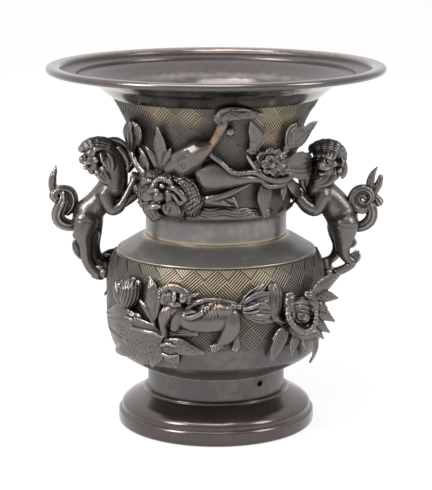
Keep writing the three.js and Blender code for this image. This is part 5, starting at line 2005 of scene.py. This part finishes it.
BELLY_LION = relief(
    "belly_lion",
    limb((-25.6, 75.2, 1, 3.6, 3), (-17.9, 76.2, 1.4, 4.2, 3), (-9.8, 76.1, 1, 3.6, 2.6), blend=1.2),
    comb(((-23.3, 79.3), (-16.2, 79.5), (-9.4, 78.1)), ((-23.3, 74.3), (-16.2, 74.5), (-10.4, 75)), strokes=4),
    limb((-18.1, 87.4, 4, 5.4, 5), (-12.1, 84.5, 5, 7, 5), (-5.4, 83.6, 5.4, 7.2, 5), (1, 84.4, 5.6, 7.2, 5),
         (6.1, 86.1, 5.4, 6.6, 5), blend=1.2),
    limb((-4.9, 89.9, 6, 4.8, 5), (0.1, 91.5, 7, 5.2, 5.4), (4.6, 90.8, 6.8, 4.6, 5), blend=1.4),
    limb((2.7, 92, 9, 3, 3.6), (3.6, 91.9, 9, 3, 3.6), blend=1),
    limb((-14.2, 86.7, 8.4, 1.4), (-11.3, 86.6, 9.6, 1.8), (-8.1, 88.3, 10.6, 1.8), (-5, 91.6, 11.6, 1.6),
         (-2, 95.6, 11.4, 1.1)),
    limb((-12.7, 90.4, 9.4, 1.2, 1.6), (-9.9, 92.2, 10, 1.4, 1.8), (-6.9, 95.4, 10, 1, 1.4), carve=True),
    limb((-14, 90.4, 5, 2.4), (-10, 94.3, 6, 2.2), (-4.4, 96.5, 7, 2.2), (1.9, 96.6, 7.2, 2), (8.3, 94.4, 6.4, 1.8),
         blend=0.6),
    comb(((-4.5, 95.6), (-5.2, 92.3), (-4.5, 88.3, 0.5)),
         ((0.5, 96.2), (0.3, 91.7), (0.9, 87.5, 0.5)), strokes=5, wide=0.55),
    limb((-18.1, 91.8, 4.4, 4.8, 5), (-18.3, 85.8, 5, 5.2, 5), (-19.7, 79.1, 4, 3.6, 4), blend=1.2),
    limb((-19, 91.3, 8, 3, 3.4), (-21.3, 89.4, 10, 3.8, 4), (-22.9, 85.8, 10, 3.6, 4), (-24.3, 79.4, 7.4, 2.5, 3),
         (-24.6, 73.8, 5, 2.2, 2.6), blend=0.4),
    comb(((-22.2, 91.7), (-24, 87)), ((-19, 91.3), (-19.5, 85.7)), strokes=4, wide=0.5),
    limb((6.5, 87.3, 5.6, 6, 5.4), (7, 80.7, 6.2, 6, 5.6), (5.2, 74.7, 6, 4.6, 4.6), (2.9, 70.9, 5.4, 3.2, 3.4),
         blend=0.6),
    limb((2.4, 69.1, 4.6, 2.6, 3), (-0.8, 66.9, 4.4, 3, 3), blend=0.4),
    comb(((-1.3, 70.7), (-2.8, 66.3)), ((3.7, 69.4), (2.8, 64.3)), strokes=5, wide=0.5),
    limb((8.7, 75.5, 3.4, 3), (9.6, 70.6, 3.8, 2.5), (9.2, 66.5, 3.6, 2.8), blend=0.5),
    comb(((7.4, 69.6), (6.8, 65.9)), ((10.4, 69.5), (10.7, 65.7)), strokes=3, wide=0.5),
    limb((6.9, 92.9, 7, 2.3), (7.7, 93, 7.6, 2.3)),
    limb((10.1, 92.7, 7, 2), (10.3, 92.7, 7, 2), blend=0.2),
    limb((11.7, 91.7, 5.6, 2.3), (15.5, 91.3, 5.6, 2.6)),
    petal((11.8, 92.4, 4.8, 2), (15.1, 96.4, 5.6, 3.8), (18.7, 100.2, 5.4, 3.2), (23.3, 104.4, 4.4, 0.7), ribs=2),
    petal((11.8, 91.2, 5, 2.2), (16.3, 93.7, 6.4, 5.4), (20.7, 96, 6.2, 5.6), (24.7, 96.7, 5, 3.4), ribs=4),
    petal((11.8, 90.6, 5, 2.2), (16.7, 90, 6.6, 5), (21.1, 88.9, 6.4, 5.5), (25.9, 87.4, 5.2, 3.4), ribs=4),
    petal((12.3, 89.3, 4.6, 2), (16.9, 86.7, 5.6, 3.2), (22, 83.9, 5.2, 3), (27.7, 81, 4, 0.7), ribs=2),
    limb((12.6, 91.4, 8.6, 1.1), (15.6, 92.2, 9.2, 1.3), (19.5, 94.5, 8.8, 0.6), blend=0.2),
    limb((12.3, 89.4, 7.6, 0.8), (15.8, 89, 8.2, 1), (19.2, 89.1, 8, 0.5), blend=0.2),
    limb((-18.7, 99.4, 6, 6.6, 6.4), (-19.4, 96.5, 6.6, 6, 6), blend=1),
    limb((-22, 97.7, 8, 4.2, 4.4), (-23, 95.8, 8.4, 3.6, 4), blend=0.8),
    comb(((-23, 103.8), (-23, 99.8), (-22, 94.9)),
         ((-19.6, 104.5), (-19.4, 100.2), (-19.3, 96.1)), strokes=4, wide=0.5),
    limb((-18.3, 102.4, 12, 1.3), (-17.6, 99.6, 13.4, 1.7), (-18.1, 96.7, 12.4, 1.2)),
    limb((-14.6, 99.1, 11.4, 2.8), (-14.4, 98, 11.2, 2.6)),
    limb((-16.2, 101.7, 12, 1.4), (-15.9, 98.3, 12.4, 1.2), (-16.4, 95.3, 11, 1), carve=True),
    limb((-21.2, 94.3, 10.4, 1.2), (-18.5, 94.3, 11.6, 1.7), (-16.1, 94.6, 10.6, 1.6)),
    limb((-23.6, 102, 9.6, 2.6), (-20.2, 104.5, 10.6, 3), (-16.5, 103.6, 10.4, 3.2), (-13.3, 100.1, 9, 3),
         (-12.1, 96.1, 7.6, 2.4), blend=0.5),
    comb(((-21.5, 100.8), (-23.6, 102.9), (-24.3, 104.8, 0.4)),
         ((-15.1, 95.9), (-11.7, 95.6), (-9.1, 95.7, 0.4)), strokes=3, wide=0.42),
    comb(((-20.8, 101.7), (-22.5, 104.3), (-22.5, 107.2, 0.4)),
         ((-14.5, 98.6), (-12, 99.6), (-9.5, 100.1, 0.4)), strokes=13, wide=0.42),
    limb((-12.6, 98.8, 8, 1.6), (-9, 100, 7.4, 1.3), (-7.8, 101, 6, 0.6)),
    rubbed=((-18.7, 103.9, 11, 3), (-1.7, 92, 9, 3.6), (-21, 89.9, 11, 2.4)),
)
BELLY_PEONY = relief(
    "belly_peony",
    limb((44, 88.2, 4, 9, 5), (44.2, 81.4, 4.8, 9, 5), blend=0.8),
    limb((37, 95.4, 5, 3.6, 3.4), (35.7, 89.6, 6, 3.6, 3.6), (36.6, 83.3, 6.4, 3.6, 3.4), blend=0.4),
    limb((48.9, 94.3, 6, 4.2, 3), (50.4, 88.5, 7.4, 3.8, 3.4), (50.7, 82.3, 8, 3, 3), blend=0.4),
    comb(((48.8, 82.6), (47.1, 84.7), (45, 86.1), (42.8, 86.8), (40.8, 86.7), (39.2, 85.7), (38.2, 84.1), (38, 82),
          (38.5, 79.8)),
         ((47.9, 94.9, 0.55), (43.8, 96.6, 0.55), (40.1, 97.1, 0.55), (36.7, 96.6, 0.55), (33.8, 95.1, 0.55),
          (31.6, 92.8, 0.55), (30, 89.8, 0.55), (29.2, 86.3, 0.55), (29.3, 82.5, 0.55)), strokes=4, wide=0.6),
    limb((44, 80.9, 8.4, 3.6, 3), (44, 80.6, 8.4, 3.6, 3)),
    score((42.2, 84.7), (40.7, 85.1), (39.5, 84.6), (38.9, 83.3), (39, 81.8), (39.8, 80.3), (41.1, 79.4),
          (42.6, 79.1), wide=0.8),
    score((41, 81.9), (41.3, 82.9), (42.5, 82.7), (42.9, 81.4), wide=0.5),
    limb((34.2, 87.8, 7.6, 1.6), (34.1, 83.7, 8.8, 1.7), (35.6, 79.2, 9.8, 1.8), (38.8, 74.9, 10.4, 1.9),
         (42.5, 72.8, 10.6, 1.9), (46.6, 73.9, 10.8, 1.8), (49, 78.1, 11, 1.7), (50, 83.5, 10.6, 1.4),
         rings=(2.6, 0.24)),
    petal((37, 77.3, 5, 2), (32.8, 72.1, 6.4, 4.2), (29.9, 64.9, 6, 4.2), (28.3, 55.6, 4, 1), ribs=6, cup=-0.1),
    petal((36.1, 76.1, 4.6, 2), (31.6, 73.4, 5.4, 3), (28, 70, 4.6, 0.8), cup=-0.1),
    petal((41.1, 72.8, 5.6, 2), (40.2, 67.4, 6.2, 3.8), (39.8, 62.8, 5.6, 3), (39.9, 57.3, 4.4, 0.6), ribs=5,
          cup=-0.1),
    petal((45.2, 70.7, 6.4, 1.7), (45.8, 65.6, 7.4, 2.8), (48.7, 58.1, 6.4, 0.7), cup=-0.1),
    petal((49.9, 71, 7.6, 2), (51.9, 64.2, 9, 3.7), (54.1, 57, 8.8, 3.4), (59.1, 47.4, 7.4, 0.8), ribs=5, cup=-0.1),
    limb((38, 76, 2.6, 3.6, 5), (42.7, 71.4, 3.6, 4.2, 5), (47.6, 69.1, 4.6, 4.2, 5), (52.4, 70, 6, 3.6, 5), blend=1),
)
BELLY_BUD = relief(
    "belly_bud",
    limb((-49.2, 87, 3.6, 2.6), (-45.4, 92.7, 5, 5.8), (-43.8, 97.5, 5.6, 6.7), (-44.6, 101.2, 4.8, 5.6),
         (-46.2, 103.1, 3.6, 3.4), flutes=(18, 0.045), blend=0.5),
    curls((-50.6, 99.7, 7.6, 1.9), (-48.5, 102.4, 7.6, 1.9), (-45.4, 104.2, 7.6, 2.0), (-41.9, 104.8, 7.6, 2.0),
          (-38.7, 103.6, 7.6, 1.9)),
    comb(((-46.6, 102.2), (-45.1, 99.7, 0.4)), ((-38.5, 104.4), (-38.8, 101, 0.4)), strokes=6, wide=0.5),
    leaf((-52.3, 85.3, 3.8, 1.4), (-55.3, 90.1, 5, 3), (-57, 94.7, 5.2, 2.6), (-57.8, 99.2, 4.4, 0.7)),
    limb((-49.6, 87.6, 4, 2.6), (-43.2, 80.9, 4, 2.4), (-36.8, 75.9, 4, 2.4), (-28.9, 72.2, 3.8, 2.3), blend=0.5),
    leaf((-44.5, 83.7, 4, 1.2), (-40.1, 81, 4.6, 2.6), (-38.1, 76.2, 4, 0.8)),
)
BELLY_LEFT_LEAVES = relief(
    "belly_left_leaves",
    leaf((-31.1, 81.2, 3.6, 1.2), (-31.7, 88.3, 5, 3.7), (-32.3, 95.8, 6, 5.5), (-32.9, 102.3, 6, 4.4),
         (-34.1, 107.7, 5, 0.7), veins=4, fold=0.3),
    leaf((-32.2, 80.4, 3.6, 1.2), (-35.6, 87.5, 4.6, 2.4), (-39.8, 92.8, 4, 0.7), fold=0.3),
    leaf((-30.5, 82.6, 3.6, 1.2), (-28.5, 89.3, 4.6, 2), (-27.7, 95.6, 4.8, 2), (-27.9, 101.5, 4.2, 0.6), fold=0.3),
    limb((-32, 80.9, 3, 1.8), (-30.1, 75.1, 3.4, 2.2), blend=1),
    leaf((-39.1, 77.6, 4.2, 1.4), (-44.6, 80.8, 5.6, 4.2), (-52.3, 81.6, 6.2, 5.6), (-65.3, 78.1, 5.2, 1.6),
         fold=0.2),
    limb((-39.8, 78.4, 6, 1.1), (-42.4, 80.4, 7.6, 1.3), (-45.9, 81.1, 7.4, 0.8)),
    leaf((-26, 71.5, 4.2, 1.8), (-32.2, 73.4, 6, 6), (-41.2, 74.2, 6.8, 7.8), (-52, 73.6, 6, 6.8),
         (-62.2, 72.5, 4.8, 3), veins=7, fold=0.08),
    leaf((-26.5, 70.8, 4.2, 1.8), (-32.9, 68.2, 6, 6), (-41.4, 64.2, 6.4, 7.2), (-51.4, 59.2, 5.6, 5.6),
         (-61, 54.9, 4.4, 2.4), veins=7, fold=0.08),
    leaf((-28.8, 69.1, 4, 1.8), (-32.9, 63.8, 5.4, 5.6), (-37.7, 58.6, 5.2, 5.4), (-44.4, 52.8, 4, 2.2), veins=5,
         fold=0.1),
    comb(((-47, 74), (-53.1, 71.4), (-58.7, 67.9, 0.35)),
         ((-44.4, 62.2), (-48.3, 59.2), (-52.2, 55.4, 0.35)), strokes=9),
    limb((-41.2, 75.2, 8.6, 1.1), (-33.5, 74.8, 8.8, 1.3), (-28.5, 74.1, 8, 1.2), (-25.1, 72.2, 6.4, 0.8)),
    leaf((-27.7, 68, 4, 1.6), (-29.6, 62.2, 5.4, 5.2), (-32, 56.5, 5, 4.4), (-35.1, 50.7, 3.8, 1.8), veins=4,
         fold=0.14),
    leaf((-24.5, 70.1, 4, 1.7), (-18.3, 67.5, 5.8, 4.8), (-12.2, 64.8, 5.4, 3.8), (-6.2, 63.3, 3.8, 1.2), veins=5,
         fold=0.14),
    leaf((-25, 68.4, 4, 1.7), (-22.5, 62.8, 5.8, 5.6), (-21.4, 57.6, 5.2, 4.6), (-20.9, 52.5, 3.6, 1.8), veins=5,
         fold=0.14),
    limb((-25.5, 67.2, 7, 1.1), (-22.2, 68.5, 7.6, 1.1), (-18.5, 67.1, 6.8, 0.6)),
    limb((-25.3, 61.4, 7, 1.1), (-22.2, 60.4, 7.2, 1.2), (-18.4, 61.3, 6.4, 0.6)),
)
BELLY_RIGHT_LEAVES = relief(
    "belly_right_leaves",
    leaf((30, 103, 3, 3.8), (29.5, 97.1, 4.4, 5.8), (29.5, 89.8, 4.8, 5.6), (30.1, 81.3, 3.2, 3), fold=0.16),
    limb((30.9, 82.2, 2, 3), (38.8, 76.2, 1.4, 3), (49.1, 72, 1.4, 3), (56.4, 74.4, 4, 3), blend=1),
    comb(((26.3, 102.1), (26.2, 94.9), (26.8, 84.9, 0.3)),
         ((32.2, 101.2), (31.5, 94.1), (30.6, 84.3, 0.3)), strokes=3, wide=0.35),
    leaf((52.4, 91.5, 5.6, 2.4), (54.5, 95.9, 9, 5), (59.8, 99.1, 11.6, 5), (69.8, 101.4, 13.4, 1.2), veins=4,
         fold=0.2),
    leaf((53.6, 90.1, 6, 2), (56.6, 91.3, 10, 4.2), (60.7, 90.4, 11.8, 3.2), (66.9, 87.7, 12.8, 0.8), veins=3,
         fold=0.2),
    leaf((53.7, 84.4, 6.6, 2.2), (55.3, 84.4, 9.6, 4.4), (58.1, 82.6, 11, 2.4), fold=0.2),
    leaf((54.1, 82.5, 7, 2), (56.8, 80.6, 10.6, 4), (64.2, 73.8, 12.4, 0.8), veins=3, fold=0.2),
    leaf((52.4, 78, 8, 2), (55.4, 73.3, 10.6, 3.2), (60.1, 68, 11.8, 0.8), veins=2, fold=0.2),
    leaf((51.4, 72.6, 8.4, 1.8), (53.8, 69, 10, 2.3), (57, 64.6, 10.4, 0.7), fold=0.2),
    limb((55, 93.5, 2, 2.4), (57.5, 88.3, 5, 2.4), (56.7, 81, 6.4, 2.4), (54.4, 74, 6.4, 2.2), blend=0.6),
)
RELIEFS = (NECK_LION, NECK_PEONY, NECK_BUD, NECK_LEFT_LEAVES, NECK_RIGHT_LEAVES, NECK_TOP_LEAVES, BELLY_LION,
           BELLY_PEONY, BELLY_BUD, BELLY_LEFT_LEAVES, BELLY_RIGHT_LEAVES)
RIVETS = tuple(f"{side}_handle_{end}_rivet" for side in ("left", "right") for end in ("foot", "hand"))


# The room
@dataclass(frozen=True)
class Studio:
    """The plain room: a pale floor, soft lamps, and a camera where the photographer stood."""

    lens: float = 135.19
    camera_at: tuple[float, float, float] = (0.0, -1.14451, 0.35563)
    camera_tilt: float = 78.107
    sensor: float = 36.0
    farthest: float = 20.0
    floor_size: float = 16.0

    LAMPS = (
        ("left_box", (-1.0, -0.68, 0.95), (0.45, 0.7), 13.0),
        ("right_box", (1.1, -0.5, 0.95), (0.4, 0.7), 6.0),
        ("top_box", (-0.2, -0.5, 1.6), (1.2, 0.6), 14.0),
    )
    WHITE = (1, 1, 1, 1)
    PAPER = (0.9, 0.9, 0.9, 1)
    MIDDLE = (0, 0, 0.12)
    FLOOR_DROP = 0.05
    FLOOR_GLOW = 1.06
    GLOW_SHARE = 0.8
    FILL = 0.7

    def build(self) -> None:
        """Sets up the floor, the world, the lamps and the camera."""
        self.floor()
        self.world()
        for lamp in self.LAMPS:
            self.lamp(*lamp)
        view = hang("camera", bpy.data.cameras.new("camera"))
        view.data.lens = self.lens
        view.data.sensor_width = self.sensor
        view.data.clip_end = self.farthest
        view.location = self.camera_at
        view.rotation_euler = (math.radians(self.camera_tilt), 0, 0)
        bpy.context.scene.camera = view
        bpy.context.scene.view_settings.view_transform = "Standard"

    def lamp(self, name: str, at: tuple[float, float, float], size: tuple[float, float], power: float) -> None:
        """Hangs a soft box that looks at the middle of the vase.

        Args:
            name: Its name.
            at: Its place, in metres.
            size: Its width and height.
            power: Its power, in watts.
        """
        light = bpy.data.lights.new(name, "AREA")
        light.shape = "RECTANGLE"
        light.size, light.size_y = size
        light.energy = power
        box = hang(name, light)
        box.location = at
        box.rotation_euler = (Vector(self.MIDDLE) - box.location).to_track_quat("-Z", "Y").to_euler()

    def floor(self) -> None:
        """Lays a white floor that keeps the vase's shadow."""
        half = self.floor_size / 2 / MM
        corners = np.array([(-half, -half, 0), (half, -half, 0), (half, half, 0), (-half, half, 0)], float)
        corners[:, 2] -= self.FLOOR_DROP
        ground = casting("floor", corners, np.array([[0, 1, 2, 3]]), {})
        made = bpy.data.materials.new("white_floor")
        graph = Graph.of(made)
        paper = graph.node("ShaderNodeBsdfDiffuse", {"Color": self.PAPER})
        glow = graph.node("ShaderNodeEmission", {"Color": self.WHITE, "Strength": self.FLOOR_GLOW})
        ray = "ShaderNodeLightPath"
        seen = graph.math("MAXIMUM", graph.node(ray, output="Is Camera Ray"), graph.node(ray, output="Is Glossy Ray"))
        white = graph.node("ShaderNodeMixShader", {0: seen * self.GLOW_SHARE, 1: paper, 2: glow})
        graph.node("ShaderNodeOutputMaterial", {"Surface": white})
        ground.data.materials.append(made)

    def world(self) -> None:
        """Lights the room softly, brighter behind the vase, above it and on its left, as its gloss shows."""
        room = bpy.data.worlds.new("room")
        bpy.context.scene.world = room
        graph = Graph.of(room)
        ray = "ShaderNodeLightPath"
        seen = graph.node(ray, output="Is Camera Ray")
        way = graph.node("ShaderNodeTexCoord", output="Generated")
        right, back, height = (graph.part(way, axis) for axis in "XYZ")
        glossy = graph.node(ray, output="Is Glossy Ray")
        lit = back.eased(-1.0, 0.3) * 0.35 + height.eased(0.1, 0.9) * 0.3 + (1 - right.eased(-0.9, 0.8)) * 0.28 + 0.36
        strength = seen + (1 - seen) * (glossy * lit + (1 - glossy) * self.FILL)
        sky = graph.node("ShaderNodeBackground", {"Color": self.WHITE, "Strength": strength})
        graph.node("ShaderNodeOutputWorld", {"Surface": sky})


def main() -> None:
    """Builds the vase, piece by piece, and the studio round it."""
    logging.basicConfig(level=logging.INFO, format="%(name)s: %(message)s")
    Vessel().build()
    for handle, node in ((LEFT_HANDLE, "left_lion_handle"), (RIGHT_HANDLE, "right_lion_handle")):
        place(handle.build(), "dark_bronze", node)
    for relief in RELIEFS:
        front = relief.build()
        place(front, "dark_bronze", f"front_{relief.node}")
        place(Relief.behind(front), "dark_bronze", f"back_{relief.node}")
    for name, finish in {**dict.fromkeys(RIVETS, PIN), "base_plate": PLATE}.items():
        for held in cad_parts[name].material_slots:
            held.material = finish.material
    Studio().build()


if __name__ == "__main__":
    main()
